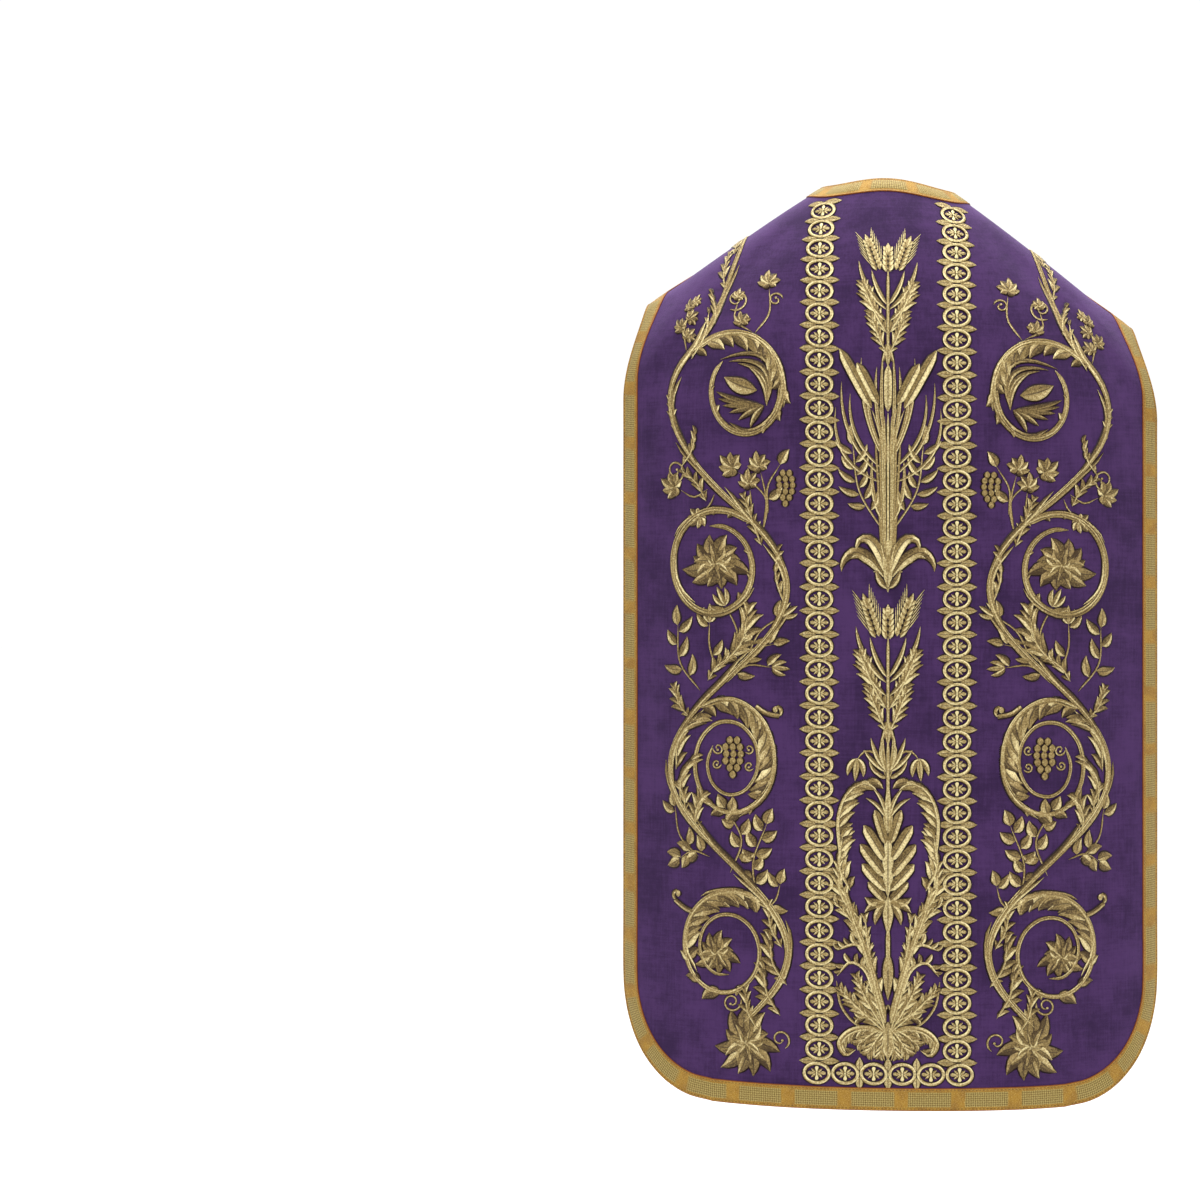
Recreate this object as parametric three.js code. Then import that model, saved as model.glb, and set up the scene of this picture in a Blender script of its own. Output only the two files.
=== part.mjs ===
// A roman (fiddleback) chasuble as worn: back, front, lining and gold braid, each a thin wall.
// Millimetres, +Z up. The origin is the middle of the neck opening at the height of the shoulders
// beside the neck, the front faces -Y and the back +Y.
//
// Every point of the cloth has two cloth coordinates: u, measured across from the middle line, and s,
// measured along the cloth from the shoulder line, positive down the back and negative down the front.
// place(u, s) hangs that point in space. Each piece is a set of four-sided cells in u and s.

import * as THREE from 'three';

const { degToRad, lerp, smoothstep } = THREE.MathUtils;

// Thickness of the layers, and the play between layers that are sewn together
const VELVET = 2;
const LINING = 1;
const BRAID = 1.4;
const PLAY = 0.3;
const BAND_LIFT = 0.8;

// The cut, measured flat: half widths across, and heights as depths below the origin
const BACK_HALF = 343;
const BACK_HEM = 1089;
const CHEST_HALF = 203;
const FRONT_HALF = 310;
const FRONT_HEM = 968;
const FLARE_TOP = 320;
const FLARE_FOOT = 590;
const NECK_HALF = 92;
const NECK_FOOT_HALF = 38;
const NAPE = 66;
const HEM_BOW = 12;
const BACK_CORNER = { across: 135, up: 138 };
const FRONT_CORNER = { across: 120, up: 160 };

// The armhole is a quarter of an ellipse in the strap's outer edge, from the shoulder point downwards
const SHOULDER_POINT = 14;
const ARMHOLE_DROP = 166;

// Braid: round the edges, round the neck and across the chest
const EDGE_BRAID = 27;
const NECK_BRAID = 22;
const CHEST_BRAID = 30;
const CHEST_TOP = 215;
const CHEST_BOW = 13;
const SEAM_BELOW_TOP = 12;

// The shoulder line: a rounded crown that runs out to an even slope on both sides
const CROWN = 33.4;
const CROWN_ROUND = 50;
const SLOPE = degToRad(37);
const TIP_START = 285;
const TIP_DROOP = 4;
const TIP_REACH = 9;
const SHOULDER_FORWARD = 20;
const LEAN = 0.05;
const LEAN_FADE = 600;

// The hang from that line: a bend over the shoulder, a flatter one over the blades or chest, then plumb
const TOP_RADIUS = 85;
const TOP_BEND = degToRad(55);
const BLADE_RADIUS = 360;
const TOP_ARC = TOP_RADIUS * TOP_BEND;
const PLUMB_ARC = TOP_ARC + BLADE_RADIUS * (Math.PI / 2 - TOP_BEND);
const PLUMB_DROP = TOP_RADIUS * (1 - Math.cos(TOP_BEND)) + BLADE_RADIUS * Math.cos(TOP_BEND);
const BACK_DEPTH = TOP_RADIUS * Math.sin(TOP_BEND) + BLADE_RADIUS * (1 - Math.sin(TOP_BEND));
const FRONT_DEPTH = 125;
const SPREAD = 145;

// How far each sheet turns round the body at BACK_HALF from its middle
const BACK_TURN = degToRad(50);
const CHEST_TURN = degToRad(30);
const FRONT_TURN = degToRad(56);
const TURN_FROM = 250;
const TURN_TO = 600;

// Soft folds: a trough (negative) or ridge (positive) round the point across, down, on a line that leans
// from plumb, with its half length, half width and depth
const FOLDS = [
  { across: 205, down: 130, lean: 62, long: 120, wide: 24, depth: -3.5 },
  { across: -215, down: 120, lean: -66, long: 130, wide: 26, depth: -4 },
  { across: 262, down: 320, lean: 12, long: 190, wide: 26, depth: -2.5 },
  { across: -268, down: 660, lean: 4, long: 260, wide: 30, depth: -4 },
  { across: 275, down: 800, lean: -5, long: 220, wide: 28, depth: -3 },
  { across: -175, down: 900, lean: 3, long: 200, wide: 34, depth: 2.5 },
  { across: 150, down: -190, lean: -48, long: 95, wide: 20, depth: -4 },
  { across: -150, down: -185, lean: 52, long: 90, wide: 18, depth: -4 },
  { across: 120, down: -330, lean: 42, long: 90, wide: 20, depth: 3 },
  { across: -125, down: -340, lean: -38, long: 100, wide: 22, depth: 3 },
  { across: 215, down: -800, lean: -4, long: 200, wide: 28, depth: -4 },
  { across: -222, down: -760, lean: 5, long: 220, wide: 28, depth: -3.5 },
];

// Counts of cells
const NECK_CELLS = 6;
const SHOULDER_CELLS = 10;
const BACK_ROWS = 18;
const CORNER_ROWS = 6;
const ARMHOLE_ROWS = 11;
const STRAP_ROWS = 14;
const FRONT_ROWS = 15;
const FRONT_CELLS = 11;

const BACK_CELLS = NECK_CELLS + SHOULDER_CELLS;
const NECK_RING = NECK_HALF + NECK_BRAID;
const INNER_BACK = BACK_HALF - EDGE_BRAID;
const SQUARE = Math.PI / 2;

// A sheet whose turn grows with the square of the distance from its middle: how far its edge lies
// across, and how far it has come in towards the body
function spiral(length, turn) {
  return {
    across: length * (1 - turn ** 2 / 10 + turn ** 4 / 216),
    inward: length * (turn / 3 - turn ** 3 / 42 + turn ** 5 / 1320),
  };
}

// The shoulder line at the distance w from the middle
function shoulderLine(w) {
  const climb = Math.hypot(CROWN_ROUND, w) - CROWN_ROUND;
  const tip = smoothstep(w, TIP_START, BACK_HALF);
  return {
    x: w - (1 - Math.cos(SLOPE)) * climb + TIP_REACH * tip,
    y: -SHOULDER_FORWARD * (w / BACK_HALF) ** 2,
    z: CROWN - Math.sin(SLOPE) * climb - TIP_DROOP * tip,
  };
}

// The hang at full size, at an arc length from the shoulder line: out from the line, down, and its slope
function hang(arc) {
  if (arc < TOP_ARC) {
    const bend = arc / TOP_RADIUS;
    return { out: TOP_RADIUS * Math.sin(bend), down: TOP_RADIUS * (1 - Math.cos(bend)), bend };
  }
  const bend = Math.min(TOP_BEND + (arc - TOP_ARC) / BLADE_RADIUS, SQUARE);
  const out = TOP_RADIUS * Math.sin(TOP_BEND) + BLADE_RADIUS * (Math.sin(bend) - Math.sin(TOP_BEND));
  const bent = TOP_RADIUS * (1 - Math.cos(TOP_BEND)) + BLADE_RADIUS * (Math.cos(TOP_BEND) - Math.cos(bend));
  return { out, down: bent + Math.max(arc - PLUMB_ARC, 0), bend };
}

// How the cloth hangs at the distance w from the middle: its shoulder line, turn and size of hang
function hangAt(w, isBack) {
  const line = shoulderLine(w);
  const share = (w / BACK_HALF) ** 2;
  const turn = share * (isBack ? BACK_TURN : CHEST_TURN);
  const depth = isBack ? BACK_DEPTH - line.y : FRONT_DEPTH + line.y;
  return { line, share, turn, size: (depth - spiral(w, turn).inward) / BACK_DEPTH };
}

// The sum of the soft folds, in millimetres out from the cloth
function foldAt(u, s) {
  let sum = 0;
  for (const fold of FOLDS) {
    const lean = degToRad(fold.lean);
    const du = u - fold.across;
    const ds = s - fold.down;
    const along = (du * Math.sin(lean) + ds * Math.cos(lean)) / fold.long;
    const across = (du * Math.cos(lean) - ds * Math.sin(lean)) / fold.wide;
    sum += fold.depth * Math.exp(-(along ** 2) - across ** 2);
  }
  return sum;
}

// The point of the cloth at u and s
function place(u, s) {
  const isBack = s >= 0;
  const w = Math.abs(u);
  const arc = Math.abs(s);
  const { line, share, turn, size } = hangAt(w, isBack);
  const fall = hang(arc / size);
  const lowTurn = share * lerp(CHEST_TURN, FRONT_TURN, smoothstep(arc, TURN_FROM, TURN_TO));
  const sheet = spiral(w, isBack ? turn : lowTurn);
  const closing = sheet.inward - spiral(w, turn).inward;
  const fold = foldAt(u, s);
  const out = size * fall.out - closing + fold * Math.sin(fall.bend);
  const lean = LEAN * u * (1 - smoothstep(arc, 0, LEAN_FADE));
  return new THREE.Vector3(
    Math.sign(u) * lerp(line.x, sheet.across, smoothstep(arc, 0, SPREAD)),
    line.y + (isBack ? out : -out),
    line.z - size * fall.down + fold * Math.cos(fall.bend) + lean,
  );
}

// Both slopes of the cloth at u and s, and its outward normal
function frameAt(u, s) {
  const h = 0.5;
  const across = place(u + h, s).sub(place(u - h, s)).divideScalar(2 * h);
  const along = place(u, s + h).sub(place(u, s - h)).divideScalar(2 * h);
  const normal = across.clone().cross(along).normalize();
  return { across, along, normal };
}

// Where the cloth hangs plumb, its depth below the origin is s plus this, with the sign of the side
function depthShift(w, isBack) {
  const { line, size } = hangAt(w, isBack);
  return -line.z - size * (PLUMB_ARC - PLUMB_DROP);
}

function backPoint(u, depth) {
  return [u, depth - depthShift(Math.abs(u), true)];
}

function frontPoint(u, depth) {
  return [u, -(depth - depthShift(Math.abs(u), false))];
}

function between(a, b, t) {
  return [lerp(a[0], b[0], t), lerp(a[1], b[1], t)];
}

// The point on the cloth a distance in from an edge point, square to the edge's direction
function stepIn([u, s], [du, ds], distance) {
  const steps = 6;
  let point = [u, s];
  for (let i = 0; i < steps; i += 1) {
    const { across, along, normal } = frameAt(point[0], point[1]);
    const edge = across.clone().multiplyScalar(du).addScaledVector(along, ds);
    const inward = normal.cross(edge).normalize();
    const aa = across.dot(across);
    const ab = across.dot(along);
    const bb = along.dot(along);
    const pa = inward.dot(across);
    const pb = inward.dot(along);
    const scale = distance / steps / (aa * bb - ab * ab);
    point = [point[0] + (pa * bb - pb * ab) * scale, point[1] + (pb * aa - pa * ab) * scale];
  }
  return point;
}

// Cells between the neighbouring rows of a net of points
function netCells(rows) {
  const cells = [];
  for (let r = 0; r + 1 < rows.length; r += 1) {
    for (let c = 0; c + 1 < rows[r].length; c += 1) {
      cells.push([rows[r][c], rows[r][c + 1], rows[r + 1][c + 1], rows[r + 1][c]]);
    }
  }
  return cells;
}

function mirrored(cells) {
  return cells.map((cell) => cell.map(([u, s]) => [-u, s]));
}

function bothSides(cells) {
  return [...cells, ...mirrored(cells)];
}

// A closed wall over the cells, between two distances out from the cloth. Each cell is turned the same
// way round, and each edge that only one cell has gets a strip that joins the two faces.
function wall(name, cells, outer, inner, material) {
  const indexOf = new Map();
  const points = [];
  const lookUp = ([u, s]) => {
    const key = `${Math.round(u * 1000) + 0},${Math.round(s * 1000) + 0}`;
    if (!indexOf.has(key)) {
      indexOf.set(key, points.length);
      points.push([u, s]);
    }
    return indexOf.get(key);
  };
  const faces = [];
  for (const cell of cells) {
    const [a, b, c, d] = cell.map(lookUp);
    const area = (cell[2][0] - cell[0][0]) * (cell[3][1] - cell[1][1])
      - (cell[2][1] - cell[0][1]) * (cell[3][0] - cell[1][0]);
    const ring = area > 0 ? [a, b, c, d] : [a, d, c, b];
    faces.push([ring[0], ring[1], ring[2]], [ring[0], ring[2], ring[3]]);
  }
  const count = points.length;
  const open = new Map();
  for (const face of faces) {
    for (let i = 0; i < 3; i += 1) {
      const from = face[i];
      const to = face[(i + 1) % 3];
      if (!open.delete(`${to},${from}`)) {
        open.set(`${from},${to}`, [from, to]);
      }
    }
  }
  const index = [];
  for (const [a, b, c] of faces) {
    index.push(a, b, c, a + count, c + count, b + count);
  }
  for (const [from, to] of open.values()) {
    index.push(to, from, from + count, to, from + count, to + count);
  }
  const position = new Float32Array(count * 6);
  points.forEach(([u, s], i) => {
    const { normal } = frameAt(u, s);
    place(u, s).addScaledVector(normal, outer).toArray(position, i * 3);
    place(u, s).addScaledVector(normal, inner).toArray(position, (i + count) * 3);
  });
  const geometry = new THREE.BufferGeometry();
  geometry.setAttribute('position', new THREE.BufferAttribute(position, 3));
  geometry.setIndex(index);
  geometry.computeVertexNormals();
  const mesh = new THREE.Mesh(geometry, material);
  mesh.name = name;
  return mesh;
}

// The chest braid's top edge and the seam below it
function chestTop(u) {
  return CHEST_TOP + CHEST_BOW * (u / CHEST_HALF) ** 2;
}

function seamDepth(u) {
  return chestTop(u) + SEAM_BELOW_TOP;
}

// The back, for u over 0: its columns start at the neck braid's outer edge or at the shoulder line
const SHOULDER_TIP = [BACK_HALF, -SHOULDER_POINT];
const INNER_TIP = [INNER_BACK, EDGE_BRAID - SHOULDER_POINT];
const COLUMN_SHARES = Array.from({ length: BACK_CELLS + 1 }, (_, c) => {
  const neckShare = NECK_RING / INNER_BACK;
  if (c < NECK_CELLS) {
    return neckShare * c / NECK_CELLS;
  }
  return lerp(neckShare, 1, (c - NECK_CELLS) / SHOULDER_CELLS);
});

function napePoint(c, width) {
  const angle = SQUARE * (1 - c / NECK_CELLS);
  return [(NECK_HALF + width) * Math.cos(angle), (NAPE + width) * Math.sin(angle)];
}

function topPoint(c) {
  if (c <= NECK_CELLS) {
    return napePoint(c, NECK_BRAID);
  }
  return between([NECK_RING, 0], INNER_TIP, (c - NECK_CELLS) / SHOULDER_CELLS);
}

const BACK_CORNER_TOP = BACK_HEM - BACK_CORNER.up;

function hemBow(u) {
  return HEM_BOW * (u / BACK_HALF) ** 2;
}

// A point of the back's rounded corner region, at an angle round the corner and a share across
function backCornerPoint(angle, share, inset) {
  const half = BACK_HALF - BACK_CORNER.across + (BACK_CORNER.across - inset) * Math.cos(angle);
  const depth = BACK_CORNER_TOP + (BACK_CORNER.up - inset) * Math.sin(angle);
  return backPoint(half * share, depth - hemBow(half * share));
}

function backColumn(c) {
  const top = topPoint(c);
  const share = COLUMN_SHARES[c];
  const topDepth = top[1] + depthShift(top[0], true);
  const footDepth = BACK_CORNER_TOP - hemBow(share * INNER_BACK);
  const column = [top];
  for (let r = 1; r <= BACK_ROWS; r += 1) {
    const t = (r / BACK_ROWS) ** 1.6;
    const u = lerp(top[0], share * INNER_BACK, smoothstep(t, 0, 0.4));
    column.push(backPoint(u, lerp(topDepth, footDepth, t)));
  }
  for (let r = 1; r <= CORNER_ROWS; r += 1) {
    column.push(backCornerPoint(SQUARE * r / CORNER_ROWS, share, EDGE_BRAID));
  }
  return column;
}

const backColumns = COLUMN_SHARES.map((_, c) => backColumn(c));
const backInner = backColumns[BACK_CELLS];
const backSideEdge = backInner.map((point, r) => {
  if (r === 0) {
    return SHOULDER_TIP;
  }
  if (r <= BACK_ROWS) {
    const depth = point[1] + depthShift(point[0], true);
    return backPoint(BACK_HALF, depth - hemBow(BACK_HALF) * r / BACK_ROWS + hemBow(INNER_BACK) * r / BACK_ROWS);
  }
  return backCornerPoint(SQUARE * (r - BACK_ROWS) / CORNER_ROWS, 1, 0);
});
const backHemInner = backColumns.map((column) => column[column.length - 1]);
const backHemEdge = COLUMN_SHARES.map((share) => backCornerPoint(SQUARE, share, 0));

// The strap over the shoulder, for u over 0: from the shoulder line down the front to the chest seam
const neckFoot = frontPoint(NECK_FOOT_HALF, chestTop(NECK_FOOT_HALF) - PLAY);

function neckEdgePoint(r) {
  if (r === STRAP_ROWS) {
    return frontPoint(NECK_FOOT_HALF, seamDepth(NECK_FOOT_HALF) - PLAY);
  }
  const t = (r / (STRAP_ROWS - 1)) ** 1.25;
  return [lerp(NECK_HALF, NECK_FOOT_HALF, t ** 1.1), neckFoot[1] * t];
}

function neckRingPoint(r) {
  if (r === 0) {
    return [NECK_RING, 0];
  }
  if (r >= STRAP_ROWS - 1) {
    const u = NECK_FOOT_HALF + NECK_BRAID * Math.hypot(1, (NECK_HALF - NECK_FOOT_HALF) / CHEST_TOP);
    return frontPoint(u, (r === STRAP_ROWS ? seamDepth(u) : chestTop(u)) - PLAY);
  }
  const [u, s] = neckEdgePoint(r);
  const next = neckEdgePoint(Math.min(r + 1, STRAP_ROWS - 1));
  const last = neckEdgePoint(r - 1);
  return stepIn([u, s], [last[0] - next[0], last[1] - next[1]], -NECK_BRAID);
}

function armholePoint(r) {
  if (r === STRAP_ROWS) {
    return frontPoint(CHEST_HALF, seamDepth(CHEST_HALF) - PLAY);
  }
  const foot = SHOULDER_POINT + ARMHOLE_DROP;
  if (r > ARMHOLE_ROWS) {
    const last = frontPoint(CHEST_HALF, chestTop(CHEST_HALF) - PLAY);
    return between([CHEST_HALF, -foot], last, (r - ARMHOLE_ROWS) / (STRAP_ROWS - 1 - ARMHOLE_ROWS));
  }
  const angle = SQUARE * (r / ARMHOLE_ROWS) ** 0.8;
  const wide = BACK_HALF - CHEST_HALF;
  return [BACK_HALF - wide * Math.sin(angle), -foot + ARMHOLE_DROP * Math.cos(angle)];
}

function armholeInner(r) {
  if (r === 0) {
    return INNER_TIP;
  }
  if (r === STRAP_ROWS) {
    const u = CHEST_HALF - EDGE_BRAID;
    return frontPoint(u, seamDepth(u) - PLAY);
  }
  const next = armholePoint(r + 1);
  const last = armholePoint(r - 1);
  return stepIn(armholePoint(r), [last[0] - next[0], last[1] - next[1]], EDGE_BRAID);
}

function strapRow(r) {
  const from = neckRingPoint(r);
  const to = armholeInner(r);
  const seamFrom = neckRingPoint(STRAP_ROWS);
  const seamTo = armholeInner(STRAP_ROWS);
  return Array.from({ length: SHOULDER_CELLS + 1 }, (_, c) => {
    const t = c / SHOULDER_CELLS;
    const point = between(from, to, t);
    const straight = between(seamFrom, seamTo, t);
    const seam = frontPoint(straight[0], seamDepth(straight[0]) - PLAY);
    return [point[0], point[1] + (seam[1] - straight[1]) * (r / STRAP_ROWS) ** 3];
  });
}

const strapNumbers = Array.from({ length: STRAP_ROWS + 1 }, (_, r) => r);
const strapRows = strapNumbers.map(strapRow);
const strapNeckEdge = strapNumbers.map(neckEdgePoint);
const strapNeckRing = strapRows.map((row) => row[0]);
const strapArmhole = strapNumbers.map(armholePoint);
const strapArmholeInner = strapRows.map((row) => row[SHOULDER_CELLS]);

// The front panel, for u over 0
const FRONT_CORNER_TOP = FRONT_HEM - FRONT_CORNER.up;

function frontHalf(depth) {
  return lerp(CHEST_HALF, FRONT_HALF, smoothstep(depth, FLARE_TOP, FLARE_FOOT));
}

function frontInnerHalf(depth) {
  const slope = (frontHalf(depth + 1) - frontHalf(depth - 1)) / 2;
  return frontHalf(depth) - EDGE_BRAID * Math.hypot(1, slope);
}

function frontBow(u) {
  return HEM_BOW * (u / FRONT_HALF) ** 2;
}

function frontCornerPoint(angle, share, inset) {
  const half = FRONT_HALF - FRONT_CORNER.across + (FRONT_CORNER.across - inset) * Math.cos(angle);
  const depth = FRONT_CORNER_TOP + (FRONT_CORNER.up - inset) * Math.sin(angle);
  return frontPoint(half * share, depth - frontBow(half * share));
}

// A row of the front: 0 is the seam, 1 the chest braid's lower edge, then even steps to the corners
function frontRowPoint(r, half, share) {
  if (r > FRONT_ROWS) {
    return frontCornerPoint(SQUARE * (r - FRONT_ROWS) / CORNER_ROWS, share, EDGE_BRAID);
  }
  const u = half * share;
  const below = chestTop(u) + CHEST_BRAID;
  const depths = [seamDepth(u), below];
  return frontPoint(u, depths[r] ?? lerp(below, FRONT_CORNER_TOP - frontBow(u), (r - 1) / (FRONT_ROWS - 1)));
}

function frontRowDepth(r) {
  const below = chestTop(CHEST_HALF) + CHEST_BRAID;
  const depths = [seamDepth(CHEST_HALF), below];
  return depths[r] ?? lerp(below, FRONT_CORNER_TOP, Math.min((r - 1) / (FRONT_ROWS - 1), 1));
}

const frontNumbers = Array.from({ length: FRONT_ROWS + CORNER_ROWS + 1 }, (_, r) => r);
const frontShares = Array.from({ length: FRONT_CELLS + 1 }, (_, c) => c / FRONT_CELLS);
const frontRows = frontNumbers.map((r) => {
  const half = frontInnerHalf(frontRowDepth(r));
  return frontShares.map((share) => frontRowPoint(r, half, share));
});
const frontInner = frontRows.map((row) => row[FRONT_CELLS]);
const frontSideEdge = frontNumbers.map((r) => {
  if (r > FRONT_ROWS) {
    return frontCornerPoint(SQUARE * (r - FRONT_ROWS) / CORNER_ROWS, 1, 0);
  }
  return frontRowPoint(r, frontHalf(frontRowDepth(r)), 1);
});
const frontHemInner = frontRows[frontRows.length - 1];
const frontHemEdge = frontShares.map((share) => frontCornerPoint(SQUARE, share, 0));

// The chest braid: as wide as the edge braids leave it, from its top edge to its lower edge
const CHEST_END = (CHEST_HALF - EDGE_BRAID - PLAY) / (CHEST_HALF - EDGE_BRAID);
const chestRows = [0, SEAM_BELOW_TOP, CHEST_BRAID].map((below) => frontShares.map((share) => {
  const u = share * CHEST_END * (CHEST_HALF - EDGE_BRAID);
  return frontPoint(u, chestTop(u) + below);
}));

// The cells of each piece
const napeNumbers = Array.from({ length: NECK_CELLS + 1 }, (_, c) => c);
const napeCells = netCells([
  napeNumbers.map((c) => napePoint(c, 0)),
  napeNumbers.map((c) => napePoint(c, NECK_BRAID)),
]);
const neckSideCells = netCells([strapNeckEdge, strapNeckRing]);
const neckBraidCells = bothSides([...napeCells, ...neckSideCells.slice(0, STRAP_ROWS - 1)]);
const backEdgeCells = bothSides([
  ...netCells([strapArmholeInner, strapArmhole]),
  ...netCells([backInner, backSideEdge]),
  ...netCells([backHemInner, backHemEdge]),
]);
const backCells = [
  ...bothSides([...netCells(backColumns), ...netCells(strapRows), ...napeCells, ...neckSideCells]),
  ...backEdgeCells,
];
const frontEdgeCells = bothSides([
  ...netCells([frontInner, frontSideEdge]),
  ...netCells([frontHemInner, frontHemEdge]),
]);
const frontCells = [...bothSides(netCells(frontRows)), ...frontEdgeCells];
const chestCells = bothSides(netCells(chestRows));

const velvet = new THREE.MeshStandardMaterial({ color: 0x4a3060, roughness: 0.85, metalness: 0 });
const silk = new THREE.MeshStandardMaterial({ color: 0x6f5284, roughness: 0.55, metalness: 0 });
const gold = new THREE.MeshStandardMaterial({ color: 0xc99a35, roughness: 0.5, metalness: 0.4 });

const chasuble = new THREE.Group();
chasuble.add(
  wall('back_panel', backCells, 0, -VELVET, velvet.clone()),
  wall('back_lining', backCells, -VELVET - PLAY, -VELVET - PLAY - LINING, silk),
  wall('front_panel', frontCells, 0, -VELVET, velvet.clone()),
  wall('braid_back_edge', backEdgeCells, PLAY + BRAID, PLAY, gold.clone()),
  wall('braid_front_edge', frontEdgeCells, PLAY + BRAID, PLAY, gold.clone()),
  wall('braid_neck', neckBraidCells, PLAY + BRAID, PLAY, gold.clone()),
  wall('braid_chest', chestCells, BAND_LIFT + BRAID, BAND_LIFT, gold.clone()),
);

export default chasuble;
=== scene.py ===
import bpy
import numpy as np
from bpy.props import FloatProperty, FloatVectorProperty, IntProperty, PointerProperty
from mathutils import Matrix, Vector


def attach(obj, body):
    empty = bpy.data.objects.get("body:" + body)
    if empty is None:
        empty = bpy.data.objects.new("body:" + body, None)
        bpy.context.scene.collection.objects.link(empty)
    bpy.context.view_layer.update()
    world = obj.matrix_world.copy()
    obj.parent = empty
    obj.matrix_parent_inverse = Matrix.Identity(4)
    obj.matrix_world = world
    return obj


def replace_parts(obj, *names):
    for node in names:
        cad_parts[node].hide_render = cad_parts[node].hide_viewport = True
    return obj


bl_info = {
    "name": "Roman chasuble",
    "version": (1, 0, 0),
    "blender": (4, 5, 0),
    "location": "3D View > Sidebar > Chasuble",
    "description": "Dresses the solids of a fiddleback chasuble in velvet, silk, braid and gold thread",
    "category": "Object",
}

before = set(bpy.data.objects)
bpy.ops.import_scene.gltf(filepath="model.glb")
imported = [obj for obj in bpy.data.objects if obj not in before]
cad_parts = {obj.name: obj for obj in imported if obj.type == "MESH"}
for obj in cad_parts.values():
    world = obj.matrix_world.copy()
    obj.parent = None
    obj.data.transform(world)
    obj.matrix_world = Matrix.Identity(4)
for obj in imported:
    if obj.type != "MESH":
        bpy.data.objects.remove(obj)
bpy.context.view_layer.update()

MM = 0.001

# The cut and the hang, in millimetres, as in the solids
BACK_HALF, BACK_HEM = 343.0, 1089.0
CHEST_HALF, FRONT_HALF, FRONT_HEM = 203.0, 310.0, 968.0
FLARE_TOP, FLARE_FOOT = 320.0, 590.0
NECK_HALF, NECK_FOOT_HALF, NAPE, HEM_BOW = 92.0, 38.0, 66.0, 12.0
BACK_CORNER = (135.0, 138.0)
FRONT_CORNER = (120.0, 160.0)
SHOULDER_POINT, ARMHOLE_DROP = 14.0, 166.0
EDGE_BRAID, NECK_BRAID, CHEST_BRAID = 27.0, 22.0, 30.0
CHEST_TOP, CHEST_BOW, SEAM_BELOW_TOP = 215.0, 13.0, 12.0
VELVET, LINING, BRAID, PLAY, BAND_LIFT = 2.0, 1.0, 1.4, 0.3, 0.8
CROWN, CROWN_ROUND, SLOPE = 33.4, 50.0, np.radians(37)
TIP_START, TIP_DROOP, TIP_REACH = 285.0, 4.0, 9.0
SHOULDER_FORWARD, LEAN, LEAN_FADE = 20.0, 0.05, 600.0
TOP_RADIUS, TOP_BEND, BLADE_RADIUS = 85.0, np.radians(55), 360.0
SQUARE = np.pi / 2
TOP_ARC = TOP_RADIUS * TOP_BEND
PLUMB_ARC = TOP_ARC + BLADE_RADIUS * (SQUARE - TOP_BEND)
PLUMB_DROP = TOP_RADIUS * (1 - np.cos(TOP_BEND)) + BLADE_RADIUS * np.cos(TOP_BEND)
BACK_DEPTH = TOP_RADIUS * np.sin(TOP_BEND) + BLADE_RADIUS * (1 - np.sin(TOP_BEND))
FRONT_DEPTH, SPREAD = 125.0, 145.0
BACK_TURN, CHEST_TURN, FRONT_TURN = np.radians(50), np.radians(30), np.radians(56)
TURN_FROM, TURN_TO = 250.0, 600.0

# Soft folds: across, down, lean from plumb in degrees, half length, half width, depth
FOLDS = (
    (205, 130, 62, 120, 24, -3.5),
    (-215, 120, -66, 130, 26, -4),
    (262, 320, 12, 190, 26, -2.5),
    (-268, 660, 4, 260, 30, -4),
    (275, 800, -5, 220, 28, -3),
    (-175, 900, 3, 200, 34, 2.5),
    (150, -190, -48, 95, 20, -4),
    (-150, -185, 52, 90, 18, -4),
    (120, -330, 42, 90, 20, 3),
    (-125, -340, -38, 100, 22, 3),
    (215, -800, -4, 200, 28, -4),
    (-222, -760, 5, 220, 28, -3.5),
)
# Small creases that only the finished cloth has, in the same columns
CREASES = (
    (240, 95, 66, 60, 9, -1.1),
    (170, 150, 58, 70, 10, -0.9),
    (-250, 90, -68, 62, 9, -1.2),
    (-180, 160, -60, 66, 11, -0.9),
    (288, 210, 14, 90, 10, -0.9),
    (-296, 240, -10, 95, 10, -1.0),
    (296, 520, 3, 120, 12, -0.9),
    (-300, 470, -3, 130, 12, -1.0),
    (20, 128, 82, 48, 8, -0.8),
    (-34, 146, 96, 44, 8, -0.7),
    (-40, 1030, 88, 90, 12, 0.7),
    (190, -150, -52, 60, 8, -1.2),
    (-186, -140, 56, 58, 8, -1.2),
    (168, -270, -35, 70, 9, -1.0),
    (-170, -280, 38, 66, 9, -1.1),
    (60, -300, 60, 60, 10, 0.8),
    (-66, -290, -58, 62, 10, 0.8),
    (255, -620, -6, 120, 12, -1.0),
    (-262, -600, 6, 130, 12, -1.0),
    (40, -900, 86, 80, 12, 0.7),
)


def ease(x, low, high):
    """0 at low, 1 at high, and 3t^2 - 2t^3 between."""
    t = np.clip((x - low) / (high - low), 0, 1)
    return t * t * (3 - 2 * t)


def mix(a, b, t):
    """A straight mix: a at t 0, b at t 1."""
    return a + (b - a) * t


def spiral(length, turn):
    """A sheet whose turn grows with the square of its length: how far its edge lies across and inward."""
    across = length * (1 - turn**2 / 10 + turn**4 / 216)
    inward = length * (turn / 3 - turn**3 / 42 + turn**5 / 1320)
    return across, inward


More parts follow.
